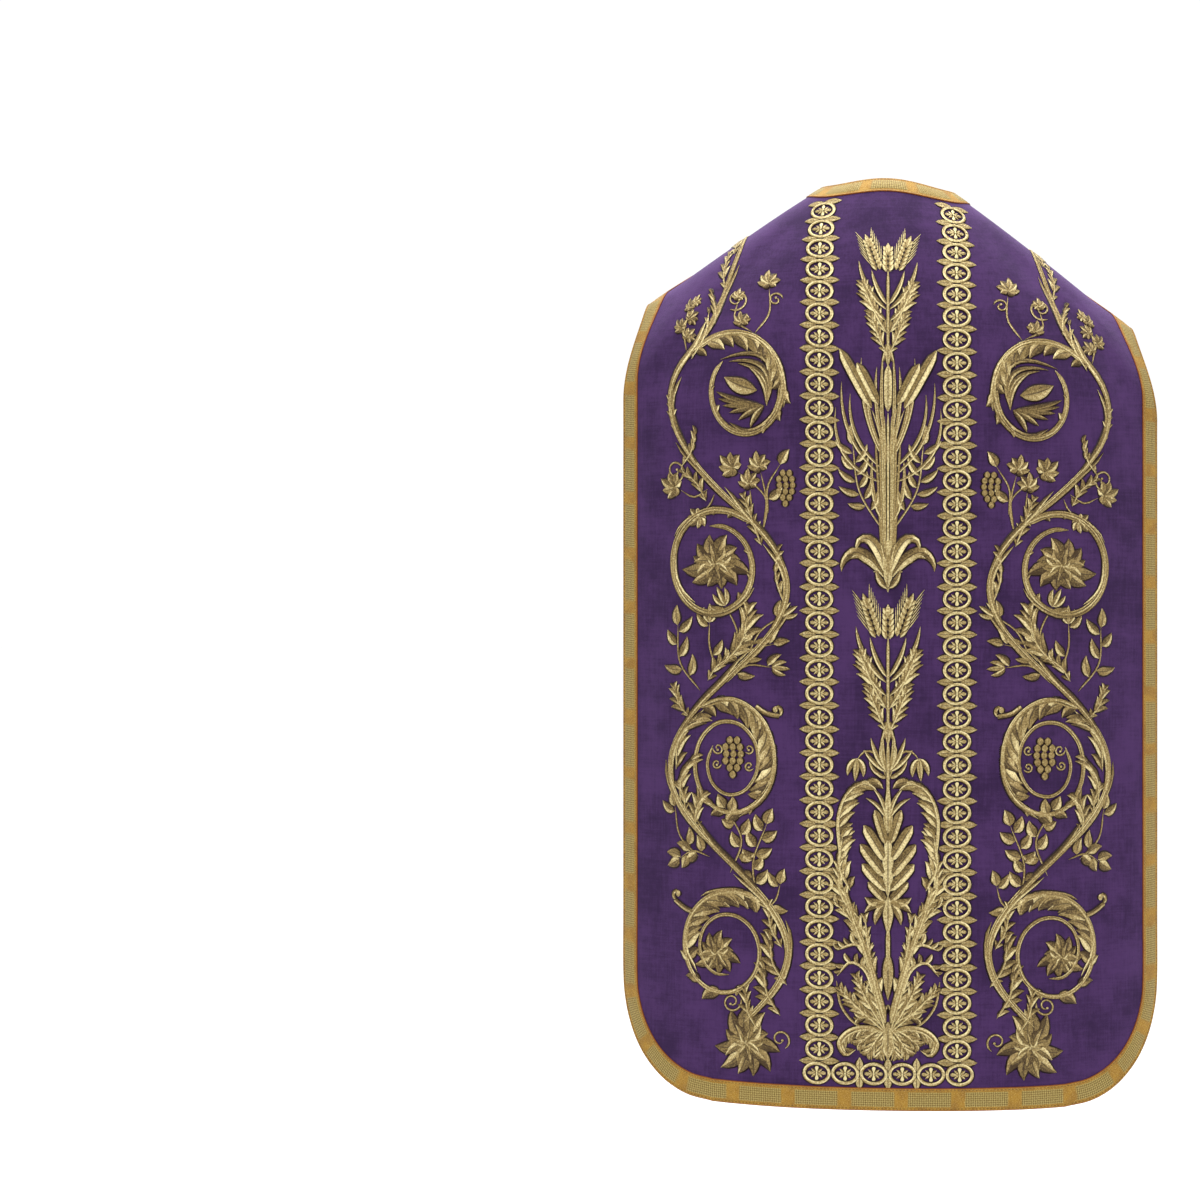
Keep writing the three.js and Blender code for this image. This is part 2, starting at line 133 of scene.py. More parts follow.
def shoulder_line(w):
    """The shoulder line at a distance w from the middle: a crown on a hyperbola that runs out to an even
    slope, with a slight droop and reach at the tip."""
    climb = np.hypot(CROWN_ROUND, w) - CROWN_ROUND
    tip = ease(w, TIP_START, BACK_HALF)
    x = w - (1 - np.cos(SLOPE)) * climb + TIP_REACH * tip
    y = -SHOULDER_FORWARD * (w / BACK_HALF) ** 2
    z = CROWN - np.sin(SLOPE) * climb - TIP_DROOP * tip
    return x, y, z


def hang(arc):
    """How far the cloth is out and down at an arc length: a bend, a flatter bend, then plumb."""
    late = np.minimum(TOP_BEND + (arc - TOP_ARC) / BLADE_RADIUS, SQUARE)
    bend = np.where(arc < TOP_ARC, arc / TOP_RADIUS, late)
    top = np.minimum(bend, TOP_BEND)
    out = TOP_RADIUS * np.sin(top) + BLADE_RADIUS * (np.sin(bend) - np.sin(top))
    down = TOP_RADIUS * (1 - np.cos(top)) + BLADE_RADIUS * (np.cos(top) - np.cos(bend))
    return out, down + np.maximum(arc - PLUMB_ARC, 0), bend


def hang_at(w, back):
    """The shoulder line, the share and turn of the sheet, and the size of its hang at a distance w."""
    line = shoulder_line(w)
    share = (w / BACK_HALF) ** 2
    turn = share * np.where(back, BACK_TURN, CHEST_TURN)
    depth = np.where(back, BACK_DEPTH - line[1], FRONT_DEPTH + line[1])
    return line, share, turn, (depth - spiral(w, turn)[1]) / BACK_DEPTH


def fold_at(u, s):
    """The sum of bell-shaped troughs and ridges, each round its own point on its own leaning line."""
    total = np.zeros(u.shape)
    for across, down, lean, long, wide, depth in FOLDS + CREASES:
        angle = np.radians(lean)
        du, ds = u - across, s - down
        along = (du * np.sin(angle) + ds * np.cos(angle)) / long
        side = (du * np.cos(angle) - ds * np.sin(angle)) / wide
        total = total + depth * np.exp(-(along**2) - side**2)
    return total


def place(u, s):
    """The point of the cloth u across and s along it: the shoulder line, plus the hang square to it,
    with the sheet turned round the body by a spiral and the folds added square to the hang."""
    back, w, arc = s >= 0, np.abs(u), np.abs(s)
    line, share, turn, size = hang_at(w, back)
    out, down, bend = hang(arc / size)
    low_turn = share * mix(CHEST_TURN, FRONT_TURN, ease(arc, TURN_FROM, TURN_TO))
    across, inward = spiral(w, np.where(back, turn, low_turn))
    closing = inward - spiral(w, turn)[1]
    fold = fold_at(u, s)
    out = size * out - closing + fold * np.sin(bend)
    x = np.sign(u) * mix(line[0], across, ease(arc, 0, SPREAD))
    y = line[1] + np.where(back, out, -out)
    z = line[2] - size * down + fold * np.cos(bend) + LEAN * u * (1 - ease(arc, 0, LEAN_FADE))
    return np.stack([x, y, z], -1)


def raised(u, s, height):
    """Points a height out from the cloth, along its normal, in metres. The normal is the cross product of
    the cloth's two slopes, taken over a short step each way."""
    h = 0.5
    across = place(u + h, s) - place(u - h, s)
    along = place(u, s + h) - place(u, s - h)
    normal = np.cross(across, along)
    normal = normal / np.linalg.norm(normal, axis=-1, keepdims=True)
    return (place(u, s) + normal * np.asarray(height)[..., None]) * MM


def depth_shift(w, back):
    """What to add to s for the depth below the origin, where the cloth hangs plumb."""
    line, _, _, size = hang_at(w, back)
    return -line[2] - size * (PLUMB_ARC - PLUMB_DROP)


def on_back(u, depth):
    """Cloth coordinates of a point of the back by its depth below the origin."""
    return np.stack([u, depth - depth_shift(np.abs(u), True)], -1)


def on_front(u, depth):
    """Cloth coordinates of a point of the front by its depth below the origin."""
    return np.stack([u, depth_shift(np.abs(u), False) - depth], -1)


# Nets of the cut: how many cells each region has across and along, as in the solids
NECK_CELLS, SHOULDER_CELLS, BACK_ROWS, CORNER_ROWS = 6, 10, 18, 6
ARMHOLE_ROWS, STRAP_ROWS, FRONT_ROWS, FRONT_CELLS = 11, 14, 15, 11
NECK_RING = NECK_HALF + NECK_BRAID
INNER_BACK = BACK_HALF - EDGE_BRAID
BACK_CELLS = NECK_CELLS + SHOULDER_CELLS


def step_in(points, edge, distance):
    """Points walked a distance over the cloth, square to an edge's direction, in six short steps that use
    the cloth's own measure at each."""
    steps, h = 6, 0.5
    u, s = points[:, 0], points[:, 1]
    du, ds = edge[:, :1], edge[:, 1:]
    for _ in range(steps):
        across = (place(u + h, s) - place(u - h, s)) / (2 * h)
        along = (place(u, s + h) - place(u, s - h)) / (2 * h)
        normal = np.cross(across, along)
        inward = np.cross(normal, across * du + along * ds)
        inward /= np.linalg.norm(inward, axis=1, keepdims=True)
        aa, ab, bb = (across**2).sum(1), (across * along).sum(1), (along**2).sum(1)
        pa, pb = (inward * across).sum(1), (inward * along).sum(1)
        scale = distance / steps / (aa * bb - ab * ab)
        u, s = u + (pa * bb - pb * ab) * scale, s + (pb * aa - pa * ab) * scale
    return np.stack([u, s], 1)


def chest_top(u):
    """The chest braid's top edge: a parabola that sags towards the sides."""
    return CHEST_TOP + CHEST_BOW * (u / CHEST_HALF) ** 2


def seam_depth(u):
    """The chest seam, an even step below the braid's top edge."""
    return chest_top(u) + SEAM_BELOW_TOP


def hem_bow(u, half):
    """How much a hem rises towards its sides: a parabola."""
    return HEM_BOW * (u / half) ** 2


def corner(angle, share, inset, half, hem, size, onto):
    """A quarter ellipse at the hem's corner, at an angle round it and a share of the way across."""
    u = (half - size[0] + (size[0] - inset) * np.cos(angle)) * share
    depth = hem - size[1] + (size[1] - inset) * np.sin(angle)
    return onto(u, depth - hem_bow(u, half))


def back_net():
    """Rows down and columns across the back for u from 0, then the outer points of its sides and hem."""
    c = np.arange(BACK_CELLS + 1)
    ring = NECK_RING / INNER_BACK
    share = np.where(c < NECK_CELLS, ring * c / NECK_CELLS, mix(ring, 1, (c - NECK_CELLS) / SHOULDER_CELLS))
    angle = SQUARE * (1 - np.minimum(c, NECK_CELLS) / NECK_CELLS)
    nape = np.stack([NECK_RING * np.cos(angle), (NAPE + NECK_BRAID) * np.sin(angle)], 1)
    t = np.maximum(c - NECK_CELLS, 0)[:, None] / SHOULDER_CELLS
    tip = np.array([INNER_BACK, EDGE_BRAID - SHOULDER_POINT])
    top = np.where(c[:, None] <= NECK_CELLS, nape, mix(np.array([NECK_RING, 0.0]), tip, t))
    t = (np.arange(1, BACK_ROWS + 1)[:, None] / BACK_ROWS) ** 1.6
    foot = BACK_HEM - BACK_CORNER[1] - hem_bow(share * INNER_BACK, BACK_HALF)
    start = top[:, 1] + depth_shift(top[:, 0], True)
    u = mix(top[:, 0], share * INNER_BACK, ease(t, 0, 0.4))
    rows = on_back(u, mix(start, foot, t))
    angles = SQUARE * np.arange(1, CORNER_ROWS + 1)[:, None] / CORNER_ROWS
    facts = BACK_HALF, BACK_HEM, BACK_CORNER, on_back
    low = corner(angles, share, EDGE_BRAID, *facts)
    net = np.concatenate([top[None], rows, low])
    inner = net[1 : BACK_ROWS + 1, -1]
    depth = inner[:, 1] + depth_shift(inner[:, 0], True)
    ease_out = (hem_bow(BACK_HALF, BACK_HALF) - hem_bow(INNER_BACK, BACK_HALF)) / BACK_ROWS
    side = on_back(np.full(BACK_ROWS, BACK_HALF), depth - ease_out * np.arange(1, BACK_ROWS + 1))
    shoulder = [[BACK_HALF, -SHOULDER_POINT]]
    side = np.concatenate([shoulder, side, corner(angles[:, 0], 1, 0, *facts)])
    hem = corner(SQUARE, share, 0, *facts)
    return net, side, hem, nape[: NECK_CELLS + 1]


def neck_edge(r):
    """The neck's edge down the front: it narrows with a power of the way down."""
    foot = on_front(np.array(NECK_FOOT_HALF), chest_top(NECK_FOOT_HALF) - PLAY)
    t = (r / (STRAP_ROWS - 1)) ** 1.25
    return np.stack([mix(NECK_HALF, NECK_FOOT_HALF, t**1.1), foot[1] * t], -1)


def armhole_edge(r):
    """The armhole: a quarter ellipse from the shoulder point, then straight to the chest seam."""
    foot = SHOULDER_POINT + ARMHOLE_DROP
    angle = SQUARE * (np.minimum(r, ARMHOLE_ROWS) / ARMHOLE_ROWS) ** 0.8
    wide = BACK_HALF - CHEST_HALF
    bowed = np.stack([BACK_HALF - wide * np.sin(angle), -foot + ARMHOLE_DROP * np.cos(angle)], -1)
    last = on_front(np.array(CHEST_HALF), chest_top(CHEST_HALF) - PLAY)
    t = np.clip((r - ARMHOLE_ROWS) / (STRAP_ROWS - 1 - ARMHOLE_ROWS), 0, 1)[:, None]
    edge = np.where(t > 0, mix(np.array([CHEST_HALF, -foot]), last, t), bowed)
    edge[r == STRAP_ROWS] = on_front(np.array(CHEST_HALF), seam_depth(CHEST_HALF) - PLAY)
    return edge


def strap_net():
    """Rows down and columns across the strap for u over 0, then the outer points of its neck and armhole."""
    r = np.arange(STRAP_ROWS + 1)
    edge = neck_edge(np.minimum(r, STRAP_ROWS - 1).astype(float))
    edge[-1] = on_front(np.array(NECK_FOOT_HALF), seam_depth(NECK_FOOT_HALF) - PLAY)
    inside = slice(1, STRAP_ROWS - 1)
    ahead, behind = edge[2:STRAP_ROWS], edge[: STRAP_ROWS - 2]
    ring = np.empty_like(edge)
    ring[0] = NECK_RING, 0
    ring[inside] = step_in(edge[inside], behind - ahead, -NECK_BRAID)
    foot = NECK_FOOT_HALF + NECK_BRAID * np.hypot(1, (NECK_HALF - NECK_FOOT_HALF) / CHEST_TOP)
    ring[-2] = on_front(np.array(foot), chest_top(foot) - PLAY)
    ring[-1] = on_front(np.array(foot), seam_depth(foot) - PLAY)
    arm = armhole_edge(r)
    inner = np.empty_like(arm)
    inner[0] = INNER_BACK, EDGE_BRAID - SHOULDER_POINT
    inner[1:-1] = step_in(arm[1:-1], arm[:-2] - arm[2:], EDGE_BRAID)
    last = CHEST_HALF - EDGE_BRAID
    inner[-1] = on_front(np.array(last), seam_depth(last) - PLAY)
    t = np.linspace(0, 1, SHOULDER_CELLS + 1)[:, None]
    net = mix(ring[:, None], inner[:, None], t)
    straight = net[-1]
    seam = on_front(straight[:, 0], seam_depth(straight[:, 0]) - PLAY)
    share = (r / STRAP_ROWS)[:, None] ** 3
    net[..., 1] += (seam - straight)[:, 1] * share
    return net, edge, arm


def front_half(depth):
    """Half the front's width: that of the chest, then an eased flare to the full width."""
    return mix(CHEST_HALF, FRONT_HALF, ease(depth, FLARE_TOP, FLARE_FOOT))


def front_net():
    """Rows down and columns across the whole front, then the outer points of its sides and hem."""
    r = np.arange(FRONT_ROWS + 1)
    below = chest_top(CHEST_HALF) + CHEST_BRAID
    corner_top = FRONT_HEM - FRONT_CORNER[1]
    t = np.maximum(r - 1, 0) / (FRONT_ROWS - 1)
    depth = mix(below, corner_top, t)
    depth[0] = seam_depth(CHEST_HALF)
    slope = (front_half(depth + 1) - front_half(depth - 1)) / 2
    shares = np.arange(-FRONT_CELLS, FRONT_CELLS + 1) / FRONT_CELLS

    def row(half, share):
        """Rows from the seam to the corners, half the width times a share across."""
        u = half[:, None] * share
        high = chest_top(u) + CHEST_BRAID
        d = mix(high, corner_top - hem_bow(u, FRONT_HALF), t[:, None])
        d[0] = seam_depth(u[0])
        return on_front(u, d)

    angles = SQUARE * np.arange(1, CORNER_ROWS + 1)[:, None] / CORNER_ROWS
    facts = FRONT_HALF, FRONT_HEM, FRONT_CORNER, on_front
    net = np.concatenate([
        row(front_half(depth) - EDGE_BRAID * np.hypot(1, slope), shares),
        corner(angles, shares, EDGE_BRAID, *facts),
    ])
    side = np.concatenate([row(front_half(depth), np.ones(1))[:, 0], corner(angles[:, 0], 1, 0, *facts)])
    return net, side, corner(SQUARE, shares, 0, *facts)


def smooth_rows(net, parts):
    """The net with each step along its first axis cut into parts, on a cubic through its own points. The
    slope at a point is half the step between its two neighbours, and the ends run straight on."""
    if len(net) == 2:
        t = np.linspace(0, 1, parts + 1).reshape(-1, *[1] * (net.ndim - 1))
        return mix(net[:1], net[1:], t)
    held = np.concatenate([2 * net[:1] - net[1:2], net, 2 * net[-1:] - net[-2:-1]])
    at = np.arange((len(net) - 1) * parts + 1) / parts
    i = np.minimum(at.astype(int), len(net) - 2)
    t = (at - i).reshape(-1, *[1] * (net.ndim - 1))
    a, b, c, d = (held[i + k] for k in range(4))
    return b + t * (c - a + t * (2 * a - 5 * b + 4 * c - d + t * (3 * (b - c) + d - a))) / 2


def fine(net, rows, columns):
    """The net cut finer both ways."""
    return smooth_rows(smooth_rows(net, rows).swapaxes(0, 1), columns).swapaxes(0, 1)


def mirrored(net):
    """The net with the sign of u turned."""
    return net * np.array([-1.0, 1.0])


def cells(net):
    """The four corners of each cell of a net, as an array of cells by 4 by 2."""
    ring = [net[:-1, :-1], net[:-1, 1:], net[1:, 1:], net[1:, :-1]]
    return np.stack(ring, 2).reshape(-1, 4, 2)


def both(net):
    """The cells of a net and of its mirror image."""
    return [cells(net), cells(mirrored(net))]


def full(net):
    """A net for u from 0, with its mirror image before it."""
    return np.concatenate([mirrored(net)[:, :0:-1], net], 1)


# Meshes
def new_piece(name, points, quads, triangles=None, materials=(), slots=None, uv=None, facts=None):
    """A mesh object at the origin from arrays: points, then four- and three-cornered faces."""
    mesh = bpy.data.meshes.new(name)
    triangles = np.zeros((0, 3), int) if triangles is None else triangles
    corners = np.concatenate([quads.ravel(), triangles.ravel()]).astype(np.int32)
    starts = np.concatenate([np.arange(len(quads)) * 4, quads.size + np.arange(len(triangles)) * 3])
    mesh.vertices.add(len(points))
    mesh.vertices.foreach_set("co", points.astype(np.float32).ravel())
    mesh.loops.add(len(corners))
    mesh.loops.foreach_set("vertex_index", corners)
    mesh.polygons.add(len(starts))
    mesh.polygons.foreach_set("loop_start", starts.astype(np.int32))
    if slots is not None:
        mesh.polygons.foreach_set("material_index", slots.astype(np.int32))
    for material in materials:
        mesh.materials.append(material)
    mesh.update(calc_edges=True)
    if uv is not None:
        layer = mesh.uv_layers.new(name="Thread")
        layer.data.foreach_set("uv", uv[corners].astype(np.float32).ravel())
    if facts is not None:
        attribute = mesh.attributes.new("thread", "FLOAT_VECTOR", "POINT")
        attribute.data.foreach_set("vector", facts.astype(np.float32).ravel())
    if mesh.validate():
        raise RuntimeError(f"{name} had a face that isn't valid")
    mesh.shade_smooth()
    piece = bpy.data.objects.new(name, mesh)
    bpy.context.scene.collection.objects.link(piece)
    return piece


def wall(name, cell_list, outer, inner, materials):
    """A closed wall over cells of u and s: the cells at one height, again at another and turned round, and a
    strip along each edge that only one cell has. Faces take material 0 outside and at the edges, 1 inside."""
    ring = np.concatenate(cell_list)
    keys = np.round(ring.reshape(-1, 2) * 1000).astype(np.int64)
    _, first, index = np.unique(keys, axis=0, return_index=True, return_inverse=True)
    points = ring.reshape(-1, 2)[first]
    quads = index.reshape(-1, 4)
    diagonal = ring[:, 2] - ring[:, 0]
    other = ring[:, 3] - ring[:, 1]
    turned = diagonal[:, 0] * other[:, 1] - diagonal[:, 1] * other[:, 0] < 0
    quads[turned] = quads[turned][:, ::-1]
    count = len(points)
    start, end = quads.ravel(), np.roll(quads, -1, 1).ravel()
    ahead, behind = start * count + end, end * count + start
    rim = ~np.isin(ahead, behind)
    start, end = start[rim], end[rim]
    strip = np.stack([end, start, start + count, end + count], 1)
    faces = np.concatenate([quads, quads[:, ::-1] + count, strip])
    slots = np.concatenate([np.zeros(len(quads)), np.ones(len(quads)), np.zeros(len(strip))])
    u, s = points[:, 0], points[:, 1]
    spots = np.concatenate([raised(u, s, np.full(count, outer)), raised(u, s, np.full(count, inner))])
    flat = np.concatenate([points, points]) * MM
    return new_piece(name, spots, faces, None, materials, slots if len(materials) > 1 else None, flat)


# Materials
class Graph:
    """Short words for a material's nodes. Each call adds one node and gives back its output."""

    def __init__(self, name):
        self.material = bpy.data.materials.new(name)
        self.material.use_nodes = True
        self.nodes, self.links = self.material.node_tree.nodes, self.material.node_tree.links
        self.shader = self.nodes["Principled BSDF"]

    def add(self, kind, inputs=(), output=0, **settings):
        """A node of a kind, with its settings and inputs, given back as one of its outputs."""
        node = self.nodes.new(kind)
        for key, value in settings.items():
            setattr(node, key, value)
        for key, value in dict(inputs).items():
            self.set(node.inputs[key], value)
        return node.outputs[output]

    def set(self, socket, value):
        """Links a socket to an output, or sets it to a constant."""
        if isinstance(value, bpy.types.NodeSocket):
            self.links.new(value, socket)
        else:
            socket.default_value = value

    def math(self, operation, a, b=0.0):
        """One step of arithmetic on two values."""
        return self.add("ShaderNodeMath", {0: a, 1: b}, operation=operation)

    def wave(self, value, pitch):
        """A sine that repeats after a pitch."""
        return self.math("SINE", self.math("MULTIPLY", value, 2 * np.pi / pitch))

    def ramp(self, value, low, high, to_low=0.0, to_high=1.0):
        """An eased step from to_low to to_high as the value goes from low to high."""
        inputs = {0: value, 1: low, 2: high, 3: to_low, 4: to_high}
        return self.add("ShaderNodeMapRange", inputs, interpolation_type="SMOOTHSTEP")

    def blend(self, share, a, b):
        """A colour mixed from a at share 0 and b at share 1."""
        node = self.nodes.new("ShaderNodeMix")
        node.data_type = "RGBA"
        for socket, value in ((node.inputs[0], share), (node.inputs[6], a), (node.inputs[7], b)):
            self.set(socket, value)
        return node.outputs[2]

    def noise(self, where, scale, detail=2.0, rough=0.5):
        """Cloudy noise from about 0.3 to 0.7."""
        inputs = {"Vector": where, "Scale": scale, "Detail": detail, "Roughness": rough}
        return self.add("ShaderNodeTexNoise", inputs)

    def stretched(self, where, scale, angle=(0, 0, 0)):
        """Coordinates scaled on each axis and turned."""
        return self.add("ShaderNodeMapping", {"Vector": where, "Scale": scale, "Rotation": angle})

    def apart(self, vector):
        """The three parts of a vector."""
        node = self.nodes.new("ShaderNodeSeparateXYZ")
        self.links.new(vector, node.inputs[0])
        return node.outputs[0], node.outputs[1], node.outputs[2]

    def bump(self, height, distance, strength=1.0, under=None):
        """A normal that leans with the slope of a height, on top of the one under it."""
        inputs = {"Height": height, "Distance": distance, "Strength": strength}
        if under is not None:
            inputs["Normal"] = under
        return self.add("ShaderNodeBump", inputs)

    def finish(self, **sockets):
        """Sets the shader's sockets, whose names have spaces for the underscores, and gives the material."""
        for key, value in sockets.items():
            self.set(self.shader.inputs[key.replace("_", " ")], value)
        return self.material


def rgba(colour):
    """A linear colour from 0 to 1 sRGB values, with full opacity."""
    c = np.asarray(colour, float)[:3]
    linear = np.where(c <= 0.04045, c / 12.92, ((c + 0.055) / 1.055) ** 2.4)
    return (*linear, 1.0)


# Pitches of the weaves and stitches, in metres
TWILL_SCALE = 420.0
RIB_PITCH, FIGURE_PITCH, DOT_PITCH = 0.0011, 0.0052, 0.0042
STITCH_PITCH = 0.0013


def velvet_material(sizes):
    """Cotton velvet: cloudy nap, painted darker in the hollows of its bump and lighter on its crests, faint
    warp and weft streaks, fine pile and a pale sheen.
    """
    g = Graph("cotton_velvet")
    spot = g.add("ShaderNodeTexCoord", output=3)
    cloud = g.noise(spot, 13.0, 5.0, 0.7)
    weft = g.noise(g.stretched(spot, (35, 35, 420)), 1.0, 2.0)
    warp = g.noise(g.stretched(spot, (420, 420, 35)), 1.0, 2.0)
    pile = g.noise(spot, 1300.0, 2.0, 0.7)
    streak = g.math("MULTIPLY", g.math("ADD", weft, warp), 0.5)
    nap = g.math("ADD", g.math("MULTIPLY", cloud, 0.6), g.math("MULTIPLY", streak, 0.28))
    nap = g.math("ADD", nap, g.math("MULTIPLY", pile, 0.22))
    # Random mottling that follows the bump: painted shade in the nap's hollows and painted light on its
    # crests
    colour = g.blend(g.ramp(nap, 0.42, 0.67), rgba(sizes.velvet_dark), rgba(sizes.velvet_light))
    bump = g.bump(cloud, 0.0012, 0.35)
    bump = g.bump(g.math("ADD", pile, g.math("MULTIPLY", streak, 0.6)), 0.0004, 0.5, bump)
    return g.finish(
        Base_Color=colour, Roughness=0.85, Normal=bump, Specular_IOR_Level=0.15,
        Sheen_Weight=sizes.sheen, Sheen_Roughness=0.42, Sheen_Tint=rgba(sizes.sheen_colour),
    )


def silk_material(sizes):
    """Thin lining silk: a fine twill on the cloth's own coordinates, slight cockling painted darker in its
    hollows and lighter on its crests, and a soft gloss.
    """
    g = Graph("silk_twill")
    flat = g.add("ShaderNodeUVMap", uv_map="Thread")
    spot = g.add("ShaderNodeTexCoord", output=3)
    twill = g.add("ShaderNodeTexWave", {
        "Vector": g.stretched(flat, (1, 1, 1), (0, 0, 0.9)), "Scale": TWILL_SCALE, "Distortion": 0.4,
    }, output=1)
    cockle = g.noise(g.stretched(spot, (14, 14, 4)), 1.0, 3.0)
    # The cockling's colour follows its bump: painted shade in the hollows and painted light on the crests
    colour = g.blend(g.ramp(cockle, 0.3, 0.7), rgba(sizes.silk_dark), rgba(sizes.silk_light))
    bump = g.bump(twill, 0.00012, 0.5, g.bump(cockle, 0.004, 0.3))
    return g.finish(
        Base_Color=colour, Roughness=0.46, Normal=bump, Specular_IOR_Level=0.4,
        Sheen_Weight=0.25, Sheen_Roughness=0.5, Sheen_Tint=rgba((0.8, 0.7, 0.9)),
    )


def braid_material(sizes):
    """Woven gold braid on its own coordinates, metres along and across: an orange-gold ribbed ground,
    paler blocks with a small diamond figure, a copper line by each edge and a dotted dark line inside it."""
    g = Graph("woven_gold")
    flat = g.add("ShaderNodeUVMap", uv_map="Thread")
    facts = g.add("ShaderNodeAttribute", output=1, attribute_name="thread")
    along, across, _ = g.apart(flat)
    v, block, _ = g.apart(facts)
    side = g.math("ABSOLUTE", v)
    rib = g.wave(along, RIB_PITCH)
    lean = g.wave(g.math("ADD", along, across), FIGURE_PITCH)
    back = g.wave(g.math("SUBTRACT", along, across), FIGURE_PITCH)
    figure = g.math("MULTIPLY", lean, back)
    line = g.math("ABSOLUTE", g.math("SUBTRACT", side, 0.8))
    dots = g.ramp(g.wave(along, DOT_PITCH), -0.1, 0.3)
    dots = g.math("MULTIPLY", dots, g.ramp(line, 0.05, 0.02))
    wear = g.noise(g.add("ShaderNodeTexCoord", output=3), 60.0, 4.0, 0.6)
    ground = g.blend(g.ramp(wear, 0.3, 0.7), rgba(sizes.braid_dark), rgba(sizes.braid_ground))
    pale = g.blend(g.ramp(figure, -0.35, 0.35), rgba(sizes.braid_figure_dark), rgba(sizes.braid_pale))
    soft = g.math("ADD", block, g.math("MULTIPLY", g.math("SUBTRACT", wear, 0.5), 1.4))
    colour = g.blend(g.ramp(soft, 0.1, 1.0), ground, pale)
    # Painted glints: pale flecks where the noise is high, and painted dark flecks where it is low, for the
    # metal thread's sparkle
    glint = g.noise(g.stretched(flat, (1.0, 2.2, 1.0)), 620.0, 2.0, 0.7)
    colour = g.blend(g.ramp(glint, 0.52, 0.7, 0.0, 0.42), colour, rgba((0.86, 0.77, 0.5)))
    colour = g.blend(g.ramp(glint, 0.48, 0.32, 0.0, 0.4), colour, rgba((0.3, 0.19, 0.06)))
    colour = g.blend(g.math("MULTIPLY", dots, 0.7), colour, rgba((0.26, 0.13, 0.05)))
    colour = g.blend(g.ramp(side, 0.88, 0.95, 0.0, 0.85), colour, rgba(sizes.braid_copper))
    raised_figure = g.math("MULTIPLY", figure, g.math("MULTIPLY", block, 0.6))
    bump = g.bump(g.math("ADD", g.math("MULTIPLY", rib, 0.4), raised_figure), 0.0003, 0.8)
    return g.finish(Base_Color=colour, Roughness=0.5, Metallic=0.15, Normal=bump, Specular_IOR_Level=0.25)


def thread_material(sizes):
    """Satin stitch in gold thread: slanting fine stitches, paler on the crest and on the pale leaves, with
    painted highlights and painted shade by the stitches' direction, a rust-brown couched outline at both
    edges that is also painted shadow at the strip's foot, and a brown vein, painted shade in its groove,
    where a leaf has one."""
    g = Graph("gold_thread")
    flat = g.add("ShaderNodeUVMap", uv_map="Thread")
    facts = g.add("ShaderNodeAttribute", output=1, attribute_name="thread")
    spot = g.add("ShaderNodeTexCoord", output=3)
    edge, tone, vein = g.apart(facts)
    along, across, _ = g.apart(flat)
    slant = g.math("ADD", along, g.math("MULTIPLY", g.math("ABSOLUTE", across), -0.8))
    stitch = g.wave(slant, STITCH_PITCH)
    patch = g.noise(spot, 560.0, 2.0, 0.6)
    # The tone carries painted highlights and painted shade by stitch direction; the patch noise varies it at
    # random
    level = g.math("ADD", tone, g.math("MULTIPLY", g.math("SUBTRACT", patch, 0.5), 1.1))
    # Painted light on each stitch's ridge and painted shade in the groove between stitches, from the same
    # wave as the bump
    level = g.math("ADD", level, g.math("MULTIPLY", stitch, 0.1))
    gold = g.blend(g.ramp(level, 0.0, 0.6), rgba(sizes.thread_shade), rgba(sizes.thread_gold))
    gold = g.blend(g.ramp(level, 0.5, 1.0), gold, rgba(sizes.thread_pale))
    # Painted shadow: the dark couched line at both edges also stands for the shade where the raised strip
    # meets the cloth
    gold = g.blend(g.ramp(edge, sizes.outline_from, 0.3, 0.0, 1.0), gold, rgba(sizes.thread_line_and_shade))
    # Painted shade: the vein's groove is darkened with the same brown
    gold = g.blend(g.ramp(vein, 0.6, 0.95, 0.0, 0.75), gold, rgba(sizes.thread_line_and_shade))
    bump = g.bump(stitch, 0.00025, 0.7)
    return g.finish(Base_Color=gold, Roughness=0.42, Metallic=0.3, Normal=bump, Specular_IOR_Level=0.35)


def material(name, maker, sizes):
    """The material of that name, made when it is first asked for."""
    return bpy.data.materials.get(name) or maker(sizes)


# Embroidery
def curve_through(points, count):
    """A smooth curve through the points, as count points evenly spaced along it."""
    line = smooth_rows(np.asarray(points, float), 16)
    run = np.concatenate([[0], np.cumsum(np.hypot(*np.diff(line, axis=0).T))])
    at = np.linspace(0, run[-1], count)
    return np.stack([np.interp(at, run, line[:, k]) for k in (0, 1)], 1)


def sampled(values, at):
    """Values read off between the rows of a list, at places counted in rows."""
    rows = np.arange(len(values))
    return np.stack([np.interp(at, rows, values[:, k]) for k in (0, 1)], -1)


def slopes(line):
    """The unit direction at each point of a line, or of a stack of lines."""
    step = np.gradient(line, axis=-2)
    return step / np.maximum(np.linalg.norm(step, axis=-1, keepdims=True), 1e-9)


def turned_by(vector, angle):
    """Vectors turned by an angle in radians."""
    c, s = np.cos(angle), np.sin(angle)
    x, y = vector[..., 0], vector[..., 1]
    return np.stack([x * c - y * s, x * s + y * c], -1)


# The couched line at each edge of a strip, which is also painted shadow at the strip's foot, and sections
# across a strip: places from -1 to 1, then heights
EDGE_LINE = 2.3
LEAST_HALF, DOMED_FROM = 0.12, 3.2
RING_STEPS, PETAL_STEPS, POD_STEPS = 24, 13, 9
NARROW = np.array([-1.0, -1.0, 0.0, 1.0, 1.0]), np.array([0.0, 0.62, 1.0, 0.62, 0.0])
DOMED = np.array([-1.0, -1.0, -0.5, 0.0, 0.5, 1.0, 1.0]), np.array([0.0, 0.5, 0.88, 1.0, 0.88, 0.5, 0.0])
VEINED = DOMED[0], np.array([0.0, 0.55, 1.0, 0.66, 1.0, 0.55, 0.0])


